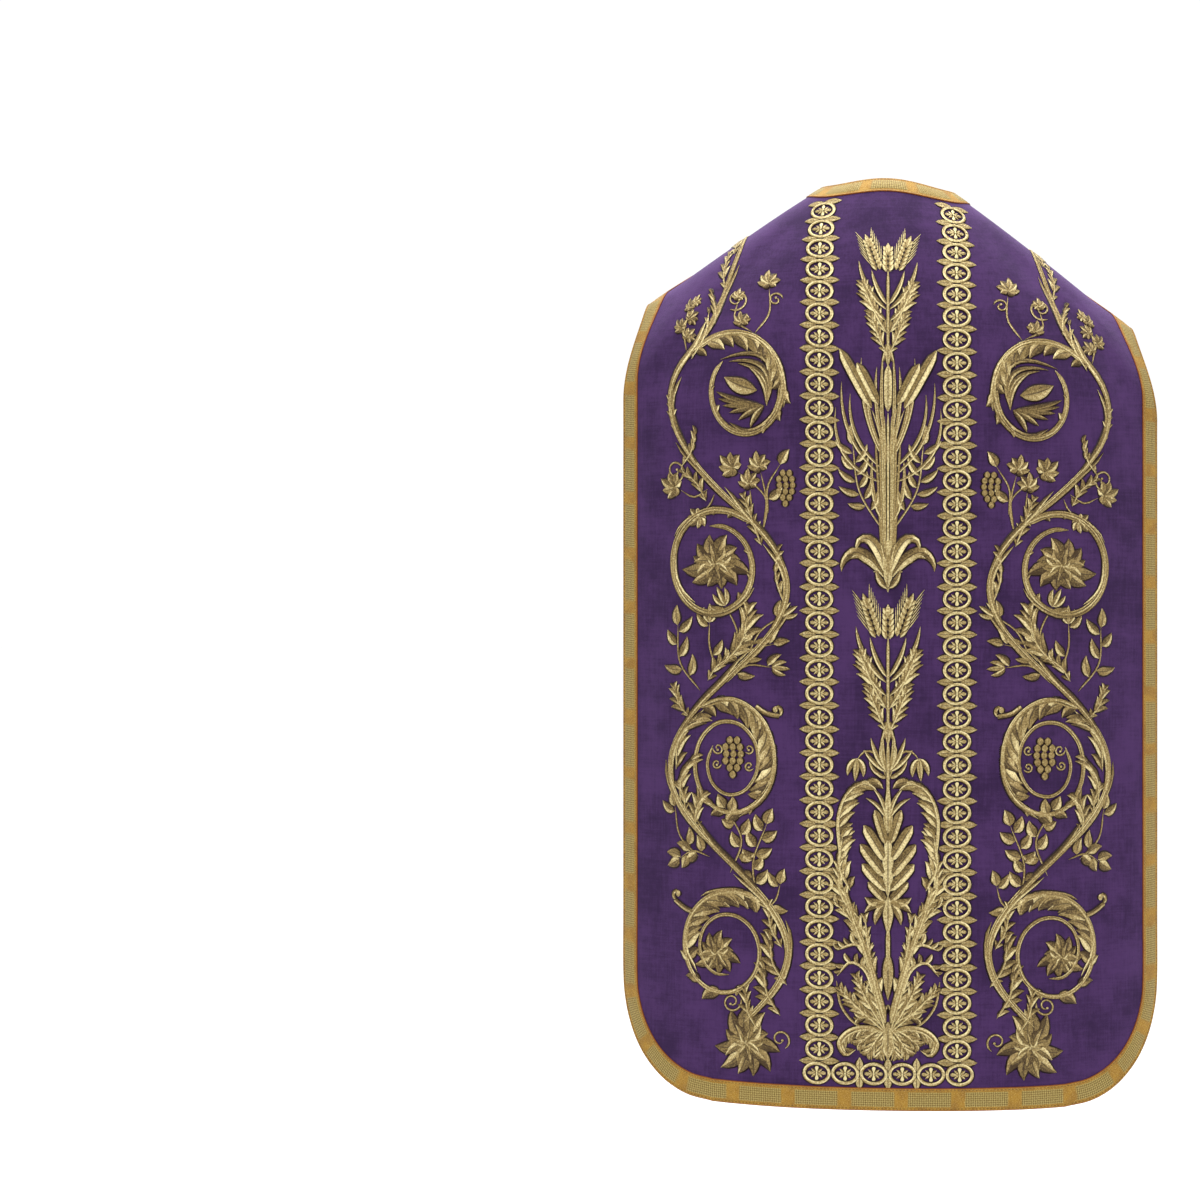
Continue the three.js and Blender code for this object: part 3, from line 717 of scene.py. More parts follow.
class Needlework:
    """Raised strips of thread, drawn in millimetres across and down the panel. A strip has a spine, a half
    width at each point of it, and a domed section whose two feet are joined below, so it is closed."""

    def __init__(self, shade=0.0):
        self.groups = {}
        self.middle = False
        self.shade = shade

    def strips(self, spines, halves, rise=1.0, lift=0.15, tone=0.5, vein=0.0, closed=False):
        """Adds a stack of like strips: spines is strips by points by 2, halves strips by points. Across, the
        strip is a couched line that is also painted shadow at its foot, half the filling, the vein or crest,
        and the same again. The filling has a painted highlight where its slanting stitches lie level and
        painted shade where they stand upright."""
        spines = np.asarray(spines, float)
        count, steps = spines.shape[:2]
        halves = np.maximum(np.broadcast_to(halves, (count, steps)), LEAST_HALF)
        halves = halves + 0.9 * np.minimum(halves, 1)
        v, crest = VEINED if vein else DOMED if halves.max() > DOMED_FROM else NARROW
        if closed:
            step = np.roll(spines, -1, 1) - np.roll(spines, 1, 1)
            ahead = step / np.linalg.norm(step, axis=-1, keepdims=True)
        else:
            ahead = slopes(spines)
        aside = turned_by(ahead, SQUARE)
        filling = halves - np.minimum(EDGE_LINE, 0.5 * halves)
        offset = filling[..., None] * v
        offset[..., 0], offset[..., -1] = -halves, halves
        grid = spines[:, :, None] + aside[:, :, None] * offset[..., None]
        fat = np.clip(halves / halves.max(1, keepdims=True), 0, 1) ** 0.5
        rise, lift, tone = (np.broadcast_to(x, count)[:, None, None] * 1.0 for x in (rise, lift, tone))
        height = lift + rise * fat[..., None] * crest
        # Painted highlight and painted shade: the filling is lighter where its stitches lie level and darker
        # where they stand upright, as the lamp overhead would light them
        stitch = np.arctan2(ahead[..., 1], ahead[..., 0])[..., None] + np.sign(v) * 0.9
        tone = tone + self.shade + 0.3 * np.cos(2 * stitch) * np.abs(np.sign(v))
        run = np.cumsum(np.linalg.norm(np.diff(spines, axis=1, prepend=spines[:, :1]), axis=-1), 1)
        uv = np.stack(np.broadcast_arrays(run[..., None], offset), -1)
        # The edge fact marks the dark couched line, which is also painted shadow at the strip's foot
        line = np.zeros(len(v))
        line[[0, -1]] = 1
        # The groove fact marks the vein for painted shade
        groove = vein * (v == 0)
        facts = np.stack(np.broadcast_arrays(line, tone + 0 * height, groove), -1)
        key = (steps, len(v), closed, self.middle)
        self.groups.setdefault(key, []).append((grid, height, uv, facts))

    def stroke(self, points, start, end, rise=0.9, lift=0.2, tone=0.5, gap=7.0, belly=0.0, tip=True):
        """A stem: a curve through the points whose width runs from start to end, with pointed ends."""
        rough = np.hypot(*np.diff(np.asarray(points, float), axis=0).T).sum()
        count = int(max(6, rough / gap + 2))
        line = curve_through(points, count)
        t = np.linspace(0, 1, count)
        half = mix(start, end, t) / 2 + belly / 2 * np.sin(np.pi * t)
        if tip:
            half = half * np.clip(np.minimum(t, 1 - t) * count / 2.2, 0.1, 1) ** 0.7
        self.strips(line[None], half[None], rise=rise, lift=lift, tone=tone)

    def fluted(self, points, start, end, strands=3, rise=1.1, lift=0.3, tone=0.55, gap=6.0, belly=0.0):
        """A thick stem of strands side by side, every other one a little higher and paler. Its whole width
        runs from start to end, and swells by the belly."""
        rough = np.hypot(*np.diff(np.asarray(points, float), axis=0).T).sum()
        count = int(max(7, rough / gap + 2))
        line = curve_through(points, count)
        t = np.linspace(0, 1, count)
        whole = mix(start, end, t) + belly * np.sin(np.pi * t)
        whole = whole * np.clip(np.minimum(t, 1 - t) * count / 2.2, 0.1, 1) ** 0.7
        share = (np.arange(strands) - (strands - 1) / 2) / strands
        spines = line + turned_by(slopes(line), SQUARE) * (share[:, None] * whole)[..., None]
        odd = np.arange(strands) % 2
        halves = whole / strands * 0.42 + 0 * share[:, None]
        self.strips(spines, halves, rise=rise, lift=lift + 0.25 * odd, tone=tone + 0.12 * odd)

    def loop(self, centre, across, down, band, rise=0.9, lift=0.2, tone=0.6):
        """Closed oval rings round their centres: a cosine across and a sine down."""
        angle = np.linspace(0, 2 * np.pi, RING_STEPS, endpoint=False)
        centre = np.atleast_2d(centre)
        oval = np.stack([across * np.cos(angle), down * np.sin(angle)], -1)
        self.strips(centre[:, None] + oval, band / 2, rise=rise, lift=lift, tone=tone, closed=True)

    def leaves(self, base, tip, width, bow=0.0, rise=1.1, lift=0.2, tone=0.5, vein=1.0, fat=0.8, steps=7):
        """Pointed leaves from base to tip: the spine is a parabola that bows aside by a share of its length,
        and the half width follows a power of a sine whose widest place is set by fat."""
        base, tip = np.atleast_2d(base).astype(float), np.atleast_2d(tip).astype(float)
        base, tip = np.broadcast_arrays(base, tip)
        t = np.linspace(0, 1, steps)
        aside = turned_by(tip - base, SQUARE)
        bow = np.broadcast_to(np.asarray(bow, float), len(base))
        spine = base[:, None] + (tip - base)[:, None] * t[:, None]
        spine = spine + aside[:, None] * (4 * t * (1 - t))[:, None] * bow[:, None, None]
        shape = np.sin(np.pi * t**fat) ** 0.85
        half = np.broadcast_to(np.asarray(width, float), len(base))[:, None] / 2 * shape
        self.strips(spine, half, rise=rise, lift=lift, tone=tone, vein=vein)

    def knots(self, centre, size, rise=1.6, lift=0.2, tone=0.75, steps=6):
        """Round padded dots: the half width follows a circle."""
        centre = np.atleast_2d(centre).astype(float)
        size = np.broadcast_to(np.asarray(size, float), len(centre))
        t = np.linspace(0, 1, steps)
        spine = centre[:, None] + (size[:, None] * (t - 0.5))[..., None] * np.array([0.0, 1.0])
        half = size[:, None] / 2 * np.sqrt(np.maximum(1 - (2 * t - 1) ** 2, 0.02))
        self.strips(spine, half, rise=rise, lift=lift, tone=tone)

    def petal(self, points, width, lift=0.4, tone=0.5):
        """One broad petal along a curve, pointed at both ends, with a vein: its half width follows a power of
        a sine."""
        t = np.linspace(0, 1, PETAL_STEPS)
        half = width / 2 * np.sin(np.pi * t**0.9) ** 0.8
        spine = curve_through(points, PETAL_STEPS)
        self.strips(spine[None], half[None], rise=1.4, lift=lift, tone=tone, vein=1.0)

    def pods(self, base, tip, width, rise=1.6, lift=0.4, tone=0.6):
        """Long rounded heads: the half width follows the root of one less a fourth power."""
        base, tip = np.atleast_2d(base).astype(float), np.atleast_2d(tip).astype(float)
        t = np.linspace(0, 1, POD_STEPS)
        half = width / 2 * np.sqrt(np.maximum(1 - (2 * t - 1) ** 4, 0.01))
        spine = base[:, None] + (tip - base)[:, None] * t[:, None]
        self.strips(spine, half, rise=rise, lift=lift, tone=tone, vein=1.0)

    def frond(self, points, size, lobes, side=0, lean=30.0, rib=3.0, tone=0.5, full=0.8, plump=0.42):
        """An acanthus leaf or half leaf: a rib along the points, with a row of long overlapping lobes on one
        side (side 1 or -1) or both (0). The lobes lean along the rib and their points bow away from it. Size
        is how far they stand out from it, most before the middle."""
        line = curve_through(points, 61)
        ahead = slopes(line)
        run = np.hypot(*np.diff(line, axis=0).T).sum()
        t = np.linspace(0.02, 0.9, lobes)
        spot, aim = sampled(line, t * 60), sampled(ahead, t * 60)
        reach = size * (0.6 + 0.5 * np.sin(np.pi * t**0.8)) * (1 + 0.12 * np.sin(np.arange(lobes) * 2.1))
        long = np.minimum(reach / np.sin(np.radians(lean)), (1 - t) * run + 0.9 * size)
        wide = np.minimum(plump * long, run / lobes * full + 3.0)
        for hand in (1, -1) if side == 0 else (side,):
            angle = np.radians(lean) * hand * (1.1 - 0.3 * t)
            tips = spot + turned_by(aim, angle) * long[:, None]
            shade = tone + 0.16 * np.sin(np.arange(lobes) * 2.4 + hand)
            self.leaves(spot, tips, wide, bow=-0.15 * hand, lift=0.15 + 0.7 * t, tone=shade, fat=0.85)
        self.stroke(points, rib, rib * 0.5, rise=1.6, lift=0.6, tone=tone + 0.2)

    def sheaths(self, points, width, count, tone=0.5):
        """Overlapping leaves along a stem, each as long as over times their even step: a leaf starts thin on
        the stem, swells, and its point leaves it by splay, on one side and the other in turn."""
        over, splay = 1.9, 0.85
        line = curve_through(points, 121)
        aside = turned_by(slopes(line), SQUARE)
        t = np.linspace(0, 1, 12)
        start = np.linspace(0, 1 - over / (count + over), count)
        at = (start[:, None] + t * over / (count + over)) * 120
        spot, out = (sampled(x, at) for x in (line, aside))
        hand = np.where(np.arange(count) % 2, 1.0, -1.0)
        away = width * (0.26 * np.sin(np.pi * t) + splay * ease(t, 0.62, 1.0) * t)
        spine = spot + out * (hand[:, None] * away)[..., None]
        half = width / 2 * (0.1 + 0.9 * np.sin(np.pi * t**1.25) ** 0.9)
        half[-1] = 0.15
        shade = tone + 0.14 * np.sin(np.arange(count) * 1.9)
        self.strips(spine, half, rise=1.3, lift=0.2 + 0.25 * (np.arange(count) % 3), tone=shade, vein=1.0)

    def flower(self, centre, size, petals, layers, tone=0.45, squash=1.0, spin=0.0):
        """Pointed petals in layers round a centre, each layer shorter, higher and paler than the last."""
        centre = np.asarray(centre, float)
        for layer in range(layers):
            share = 1 - 0.3 * layer
            count = petals - 2 * layer
            angle = np.linspace(0, 2 * np.pi, count, endpoint=False) + spin + layer * 0.37
            out = np.stack([np.cos(angle), squash * np.sin(angle)], 1)
            long = size * share * (1 + 0.16 * np.sin(angle * 3 + spin) + 0.08 * np.sin(angle * 5 + layer))
            shade = tone + 0.1 * layer + 0.14 * np.sin(angle * 2 + layer)
            root, tips = centre + out * size * (0.06 - 0.05 * layer), centre + out * long[:, None]
            bow = 0.1 * (-1) ** layer
            self.leaves(root, tips, size * share / 2, bow=bow, rise=1.3, lift=0.2 + 0.5 * layer, tone=shade)

    def grapes(self, top, rows, size, tone=0.75):
        """A bunch of round grapes in rows that narrow downwards."""
        spots = []
        for row, count in enumerate(rows):
            x = (np.arange(count) - (count - 1) / 2) * size * 0.94
            spots.append(np.stack([x + 0.1 * size * (row % 2), np.full(count, row * size * 0.86)], 1))
        spots = np.concatenate(spots) + np.asarray(top, float)
        self.knots(spots, size, rise=2.0, lift=0.25, tone=tone)

    def vine_leaf(self, base, tip, tone=0.45):
        """Seven pointed lobes spread from the base of a leaf, the middle one to its tip."""
        base, tip = np.asarray(base, float), np.asarray(tip, float)
        angle = np.radians([-118, -76, -38, 38, 76, 118, 0])
        long = np.array([0.5, 0.78, 0.84, 0.84, 0.78, 0.5, 1.0])
        root = mix(base, tip, 0.3)
        tips = root + turned_by(np.broadcast_to(tip - root, (7, 2)), angle) * long[:, None] * 1.1
        width = np.hypot(*(tip - base)) * 0.4
        lift = [0.2, 0.3, 0.4, 0.45, 0.3, 0.2, 0.6]
        self.leaves(root, tips, width, bow=0.08, rise=1.0, lift=lift, tone=tone + 0.1 * np.sin(angle * 2),
                    fat=0.9)

    def bud(self, base, tip, tone=0.6):
        """Three petals that part at the top of a small cup."""
        base, tip = np.asarray(base, float), np.asarray(tip, float)
        long = np.hypot(*(tip - base))
        aims = turned_by(np.broadcast_to(tip - base, (3, 2)), np.radians([-24, 24, 0]))
        tips = base + aims * [[0.95], [0.95], [1.1]]
        self.leaves(base, tips, long * 0.36, bow=[-0.12, 0.12, 0], rise=1.0, lift=[0.2, 0.3, 0.45],
                    tone=tone)

    def ear(self, base, tip, width, grains=7, tone=0.6, awns=True):
        """An ear of wheat: grains in pairs up a stalk, leaning outwards, each with a fine awn past it."""
        base, tip = np.asarray(base, float), np.asarray(tip, float)
        t = np.linspace(0.02, 0.82, grains)[:, None]
        spot = mix(base, tip, t)
        aim = (tip - base) / np.hypot(*(tip - base))
        grain = np.hypot(*(tip - base)) / grains * 1.75 * (1 - 0.35 * t)
        for hand in (1, -1):
            out = turned_by(np.broadcast_to(aim, (grains, 2)), np.radians(26) * hand)
            root = spot + turned_by(np.broadcast_to(aim, (grains, 2)), SQUARE * hand) * width * 0.1
            self.leaves(root, root + out * grain, width * 0.36, bow=-0.1 * hand, rise=1.4, lift=0.3,
                        tone=tone, vein=0.0, fat=0.85, steps=5)
            if awns:
                far = root + out * grain * 0.8
                reach = turned_by(np.broadcast_to(aim, (grains, 2)), np.radians(19) * hand)
                self.leaves(far, far + reach * grain * 2.0, 1.2, rise=0.6, tone=tone + 0.1, vein=0.0,
                            fat=0.6, steps=4)
        self.leaves(mix(base, tip, 0.72), tip + aim * grain[0] * 0.5, width * 0.36, rise=1.4, lift=0.6,
                    tone=tone, vein=0.0, fat=0.85, steps=5)

    def curl(self, centre, size, turns, start, width, hand=1, tone=0.6):
        """A tendril that winds in to a dot: its radius falls evenly with the angle."""
        angle = np.radians(start) + hand * np.linspace(0, 2 * np.pi * turns, int(10 * turns) + 4)
        radius = np.linspace(size, size * 0.25, len(angle))
        points = np.asarray(centre, float) + np.stack([np.cos(angle), np.sin(angle)], 1) * radius[:, None]
        self.stroke(points, width, width * 0.8, rise=0.8, lift=0.25, tone=tone, gap=2.5)
        self.knots(points[-1], width * 1.5, rise=1.1, lift=0.4, tone=tone + 0.1)

    def piece(self, name, onto, gold):
        """All the strips as one mesh of closed solids on a panel, with mirror images of those that don't
        stand on the middle line."""
        points, heights, uvs, facts, quads, caps, base = [], [], [], [], [], [], 0
        for (steps, wide, closed, middle), stacks in self.groups.items():
            grid, height, uv, fact = (np.concatenate([stack[k] for stack in stacks]) for k in range(4))
            if not middle:
                grid = np.concatenate([grid, grid * [-1, 1]])
                height, uv, fact = (np.concatenate([x, x]) for x in (height, uv, fact))
            spots = onto(grid[..., 0], grid[..., 1])
            run = spots[:, 1, wide // 2] - spots[:, 0, wide // 2]
            rung = spots[:, 1, -1] - spots[:, 1, 0]
            flip = run[:, 0] * rung[:, 1] - run[:, 1] * rung[:, 0] < 0
            rows = np.arange(steps if closed else steps - 1)[:, None]
            column = np.arange(wide)
            after, beside = (rows + 1) % steps, (column + 1) % wide
            ring = np.stack([rows * wide + column, after * wide + column,
                             after * wide + beside, rows * wide + beside], -1).reshape(-1, 4)
            start = base + np.arange(len(spots))[:, None, None] * steps * wide
            faces = ring + start
            faces[flip] = faces[flip][..., ::-1]
            quads.append(faces.reshape(-1, 4))
            if not closed:
                fan = np.stack([np.zeros(wide - 2, int), np.arange(1, wide - 1), np.arange(2, wide)], -1)
                ends = np.concatenate([fan, fan[:, ::-1] + (steps - 1) * wide]) + start
                ends[flip] = ends[flip][..., ::-1]
                caps.append(ends.reshape(-1, 3))
            points.append(spots.reshape(-1, 2))
            heights.append(height.ravel())
            uvs.append(uv.reshape(-1, 2) * MM)
            facts.append(fact.reshape(-1, 3))
            base += spots.shape[0] * steps * wide
        points, heights = np.concatenate(points), np.concatenate(heights)
        shown = raised(points[:, 0], points[:, 1], heights)
        caps = np.concatenate(caps) if caps else None
        quads, uvs, facts = (np.concatenate(x) for x in (quads, uvs, facts))
        return new_piece(name, shown, quads, caps, [gold], None, uvs, facts)


# The framing chains: how far they stand from the middle, a link's ring, half across and half down, and its
# band, the reach of the petals of its cross and of the thorns between them, and a petal's half widths
CHAIN_ACROSS = 80.0
LINK_RING, LINK_BAND = (14.6, 11.4), 4.2
PETAL_REACH, THORN_REACH, THORN_WIDTH = (10.6, 8.2), (9.2, 7.4), 2.8
PETAL_FLARE = np.array([0.5, 0.8, 1.9, 2.9, 1.0])
SPIKE_ASIDE, SPIKE_UP, SPIKE_WIDTH = 23.5, 19.0, 10.5
HALF_ROW_LINKS = 3


def chain_links(work, centres):
    """Links of the framing chain: an oval ring round a cross of flared petals with pointed ones between."""
    centres = np.atleast_2d(centres).astype(float)
    across, down = LINK_RING
    work.loop(centres, across, down, LINK_BAND, rise=1.2, lift=0.5, tone=0.62)
    aims = np.arange(4) * SQUARE
    t = np.linspace(0, 1, len(PETAL_FLARE))
    for k, aim in enumerate(aims):
        out = np.array([np.cos(aim), np.sin(aim)]) * PETAL_REACH
        spine = centres[:, None] + out * (0.08 + 0.92 * t)[:, None]
        work.strips(spine, PETAL_FLARE, rise=1.1, lift=0.35, tone=0.95 if k % 2 else 0.55)
    for aim in aims + SQUARE / 2:
        out = np.array([np.cos(aim), np.sin(aim)]) * THORN_REACH
        work.leaves(centres + out * 0.1, centres + out, THORN_WIDTH, rise=0.8, vein=0.0, fat=1.0, steps=4)
    work.knots(centres, 2.2, rise=1.4, lift=0.8, tone=0.9, steps=5)


def chain_spikes(work, centres, aim):
    """Pointed leaves that stand out on both sides between two links."""
    centres = np.atleast_2d(centres).astype(float)
    out = np.asarray(aim, float)
    for hand in (1, -1):
        root = centres - out * 0.05 * hand
        work.leaves(root, centres + out * hand, SPIKE_WIDTH, rise=1.0, lift=0.1, fat=1.05)


def chains(work, top, foot, pitch, row_depth, row_spacing):
    """Two chains down a panel, drawn for u over 0, and the row of links that joins them at the foot."""
    depths = np.arange(foot, top, -pitch)
    column = np.stack([np.full(len(depths), CHAIN_ACROSS), depths], 1)
    chain_links(work, column)
    gaps = np.concatenate([column - [0, pitch / 2], column[:1] + [0, pitch / 2]])
    chain_spikes(work, gaps, (SPIKE_ASIDE, 0))
    across = (np.arange(HALF_ROW_LINKS) + 0.5) * row_spacing
    row = np.stack([across, np.full(HALF_ROW_LINKS, row_depth)], 1)
    chain_links(work, row)
    chain_spikes(work, (row_spacing, row_depth), (0, SPIKE_UP))
    work.middle = True
    chain_spikes(work, (0, row_depth), (0, SPIKE_UP))
    work.middle = False


# The side scrolls, drawn for u over 0 in millimetres across and down the back. The stem swings round its
# own middle line, is furthest out at STEM_OUTER, and repeats after STEM_WAVE.
STEM_MIDDLE, STEM_SWING, STEM_OUTER, STEM_WAVE, STEM_TOP = 191.0, 74.0, 268.0, 424.0, 200.0
STEM_START, STEM_PULL = (206.0, 12.0), (170.0, 118.0)

# Scrolls: depth where it leaves the stem, centre across and down, radii, hand, turns, inner share of radius
SCROLLS = (
    (206, 171, 250, 53, 63, -1, 1.10, 0.68),
    (404, 206, 455, 59, 64, 1, 1.20, 0.72),
    (620, 187, 684, 65, 80, -1, 2.05, 0.38),
    (856, 192, 904, 66, 73, 1, 1.75, 0.40),
)
# Half acanthus leaves on the scrolls: scroll, first and last share of the spiral, size, lobes, and the side
# that they are on, 1 inside the spiral or -1 outside
SCROLL_LEAVES = (
    (0, 0.00, 0.38, 21, 9, 1), (0, 0.30, 0.52, 8, 4, -1), (0, 0.64, 0.85, 7, 3, 1),
    (1, 0.00, 0.16, 7, 4, 1), (1, 0.52, 0.80, 8, 4, 1),
    (2, 0.00, 0.24, 26, 12, 1), (2, 0.24, 0.34, 9, 4, -1),
    (3, 0.26, 0.02, 26, 12, 1), (3, 0.42, 0.24, 9, 4, -1),
)
# Acanthus leaves that grow from the stem: root, tip, bow, size, lobes, side
STEM_LEAVES = (
    (237, 632, 258, 598, 0.10, 9, 5, 0), (256, 694, 226, 632, 0.18, 18, 8, -1),
    (250, 734, 233, 680, 0.14, 14, 7, -1), (229, 768, 222, 724, 0.10, 11, 6, 0),
    (244, 744, 252, 712, -0.1, 8, 5, 0), (258, 300, 266, 262, 0.0, 6, 4, 0),
    (248, 340, 230, 300, -0.1, 8, 5, 1), (216, 380, 246, 346, -0.1, 8, 5, 0),
    (148, 430, 170, 372, 0.0, 8, 6, 0), (120, 500, 128, 430, 0.1, 8, 6, -1),
    (196, 570, 164, 506, -0.12, 15, 7, 0), (214, 588, 186, 560, 0.1, 9, 5, 0),
    (124, 900, 140, 850, 0.1, 8, 5, 0), (118, 944, 138, 888, 0.12, 12, 6, 1),
    (126, 980, 146, 922, 0.1, 12, 6, 1), (150, 1000, 168, 952, 0.1, 9, 5, 0),
    (197, 124, 214, 70, 0.06, 9, 5, 0), (206, 172, 216, 128, -0.1, 8, 5, 1),
    (203, 74, 216, 22, 0.0, 12, 5, 0), (236, 215, 214, 150, -0.1, 6, 5, 1),
)
# Twigs: root, tip, bow, leaves, their length and width, and what ends them: a leaf, a vine leaf or a bud
TWIGS = (
    (243, 206, 240, 148, 0.10, 4, 18, 12, "vine"),
    (157, 184, 140, 128, -0.16, 0, 27, 8, "vine"), (160, 182, 178, 142, 0.30, 1, 18, 9, "vine"),
    (148, 420, 176, 346, -0.26, 0, 31, 11, "vine"), (146, 410, 149, 346, -0.08, 0, 27, 11, "vine"),
    (160, 388, 162, 366, 0.0, 0, 26, 11, "vine"), (140, 392, 126, 336, 0.14, 1, 23, 12, "leaf"),
    (214, 366, 250, 368, 0.24, 0, 32, 11, "vine"), (206, 372, 220, 392, 0.1, 0, 26, 11, "vine"),
    (224, 600, 254, 524, 0.16, 5, 26, 12, "leaf"), (204, 572, 212, 520, 0.08, 2, 22, 11, "bud"),
    (164, 556, 124, 512, 0.12, 2, 22, 10, "bud"), (176, 560, 192, 500, -0.10, 2, 24, 10, "bud"),
    (190, 590, 136, 572, 0.20, 2, 22, 10, "bud"), (180, 570, 134, 545, 0.14, 2, 22, 10, "leaf"),
    (186, 814, 192, 738, -0.22, 5, 21, 14, "leaf"), (226, 796, 258, 738, 0.16, 2, 22, 12, "leaf"),
    (212, 796, 252, 800, -0.2, 5, 21, 13, "leaf"), (152, 850, 142, 756, 0.12, 8, 22, 14, "leaf"),
    (146, 858, 126, 826, -0.14, 2, 21, 12, "leaf"),
)
# Tendrils: centre, size, turns, starting angle, hand
TENDRILS = (
    (180, 140, 15, 1.3, 60, 1), (132, 142, 9, 1.2, 190, 1), (168, 166, 7, 1.1, 80, -1),
    (258, 346, 13, 1.3, 100, 1), (126, 1008, 12, 1.1, 120, 1), (184, 966, 12, 1.4, 200, -1),
    (201, 668, 7, 1.2, 0, 1), (203, 686, 6, 1.2, 180, -1),
    (163, 668, 6, 1.1, 40, 1), (163, 688, 6, 1.2, 150, -1),
)
# Thick hooks that leave an arch: root across and down, centre of the hook, its size, first angle and hand
HOOKS = ((155, 618, 130, 622, 7, 90, 1), (234, 862, 255, 842, 7, 90, -1))
# Flower heads: centre, size, petals, layers, squash, first angle
FLOWER_HEADS = (
    (204, 452, 38, 12, 3, 0.84, 0.2),
    (203, 910, 27, 11, 3, 0.95, 0.5),
    (166, 1014, 36, 11, 4, 1.2, 0.1),
)
# Bunches of grapes: middle of the top row, grapes in each row, their size
GRAPES = ((182, 658, (2, 3, 3, 3, 2, 1), 9.4), (119, 346, (2, 3, 3, 3, 2, 1), 8.2))
# The bud in profile inside the first scroll: its middle and size
LOTUS = (172, 246, 30)
# How far down the stem and the panel's ornament go, and the step between the stem's points
STEM_FOOT, STEM_STEP, PANEL_FOOT = 1002.0, 12.0, 1100.0
# A spiral that turns more often than this is slim, and closes faster at first
SLIM_FROM = 1.5


def stem_across(depth):
    """The stem swings from side to side: a cosine of the depth."""
    return STEM_MIDDLE + STEM_SWING * np.cos(2 * np.pi * (depth - STEM_OUTER) / STEM_WAVE)


def stem_point(depth):
    """The stem's point at a depth."""
    return np.array([stem_across(depth), depth])


def shoulder_stem():
    """The stem above its first swing: a parabola that bows inwards from the shoulder, towards STEM_PULL."""
    start, pull, end = np.array(STEM_START), np.array(STEM_PULL), stem_point(STEM_TOP)
    t = np.linspace(0, 1, 12)[:, None]
    return mix(mix(start, pull, t), mix(pull, end, t), t)


def scroll_line(row, count=90):
    """A spiral from the stem: its angle runs evenly from the stem's own. Its radius falls evenly, or fast and
    then slowly on a slim one, while the part by which the stem lies outside it dies away."""
    root, x, y, wide, tall, hand, turns, inner = row
    start = (stem_point(root) - (x, y)) / (wide, tall)
    t = np.linspace(0, 1, count)
    angle = np.arctan2(start[1], start[0]) + hand * 2 * np.pi * turns * t
    ring = mix(1, inner, t ** (0.72 if turns > SLIM_FROM else 1))
    radius = ring + (np.hypot(*start) - 1) * np.exp(-9 * turns * t)
    return np.stack([x + wide * radius * np.cos(angle), y + tall * radius * np.sin(angle)], 1)


def twig(work, root, tip, bow, leaves, long, wide, end):
    """A bowed twig with leaves that stand off it in turn on either side, at even steps."""
    tone = 0.55
    root, tip = np.array(root, float), np.array(tip, float)
    aside = turned_by(tip - root, SQUARE) * bow
    points = [root, mix(root, tip, 0.5) + aside, tip]
    work.stroke(points, 1.9, 1.3, rise=0.8, tone=tone)
    line = curve_through(points, 30)
    ahead = slopes(line)
    if leaves:
        spot = np.linspace(7, 26, leaves).astype(int)
        hand = np.where(np.arange(leaves) % 2, 1.0, -1.0)
        angle = np.radians(46) * hand + 0.16 * np.sin(spot * 1.7)
        reach = long * (1 - 0.12 * np.cos(spot * 2.1))
        base, aim = line[spot], turned_by(ahead[spot], angle)
        if end == "vine":
            for k in range(leaves):
                work.vine_leaf(base[k], base[k] + aim[k] * reach[k], tone=tone - 0.1)
        else:
            tips = base + aim * reach[:, None]
            work.leaves(base + aim * 2, tips, wide, bow=0.1 * hand, lift=0.35, tone=tone, fat=0.7)
    far = tip + ahead[-1] * long * 0.9
    if end == "vine":
        work.vine_leaf(tip, far, tone=tone)
    elif end == "bud":
        work.bud(tip, far, tone=tone + 0.1)
    else:
        work.leaves(tip, far, wide * 1.05, bow=0.06, lift=0.35, tone=tone, fat=0.7)


def lotus(work, x, y, size):
    """A bud in profile inside the first scroll: a padded bud, petals that arch over it and a fringe below."""
    spot = np.array([x, y])
    heel, point = spot + [-0.62 * size, 0.16 * size], spot + [0.72 * size, -0.32 * size]
    work.leaves(heel, point, 0.66 * size, bow=0.06, rise=2.0, lift=0.5, tone=0.6, fat=0.9, steps=11)
    root = spot + [-1.0 * size, 0.75 * size]
    t = np.linspace(0, 1, 4)
    out = np.stack([1.9 - 1.1 * t, -1.75 + 0.2 * t], 1) * size
    lift, tone = 0.3 + 0.5 * t, 0.42 + 0.12 * t
    work.leaves(root, root + out, 0.25 * size, bow=-0.5 + 0.34 * t, rise=1.3, lift=lift, tone=tone,
                fat=0.85, steps=12)
    t = np.linspace(0, 1, 6)
    out = np.stack([2.05 - 0.2 * t - 1.2 * t**2, -0.5 + 1.35 * t], 1) * size
    lift, tone = 0.9 - 0.4 * t, 0.38 + 0.12 * t
    heel = root + [0.1 * size, 0]
    work.leaves(heel, root + out, 0.27 * size, bow=0.05 - 0.12 * t, rise=1.3, lift=lift, tone=tone, fat=0.9,
                steps=10)


def scroll(work, row, move):
    """The spiral of one scroll: strands side by side, with overlapping leaves on its outer turns."""
    ring = scroll_line(row)[::5] + move
    if row[6] > SLIM_FROM:
        work.fluted(ring, 6.4, 3.4, strands=2, rise=1.3, lift=0.35, tone=0.54, gap=5.5)
        work.sheaths(ring[: len(ring) // 3], 7.0, 2, tone=0.52)
    else:
        work.fluted(ring, 7.4, 4.6, rise=1.3, lift=0.35, tone=0.54, gap=5.5, belly=2.4)
        work.sheaths(ring[: len(ring) * 3 // 4], 7.0, 3, tone=0.52)


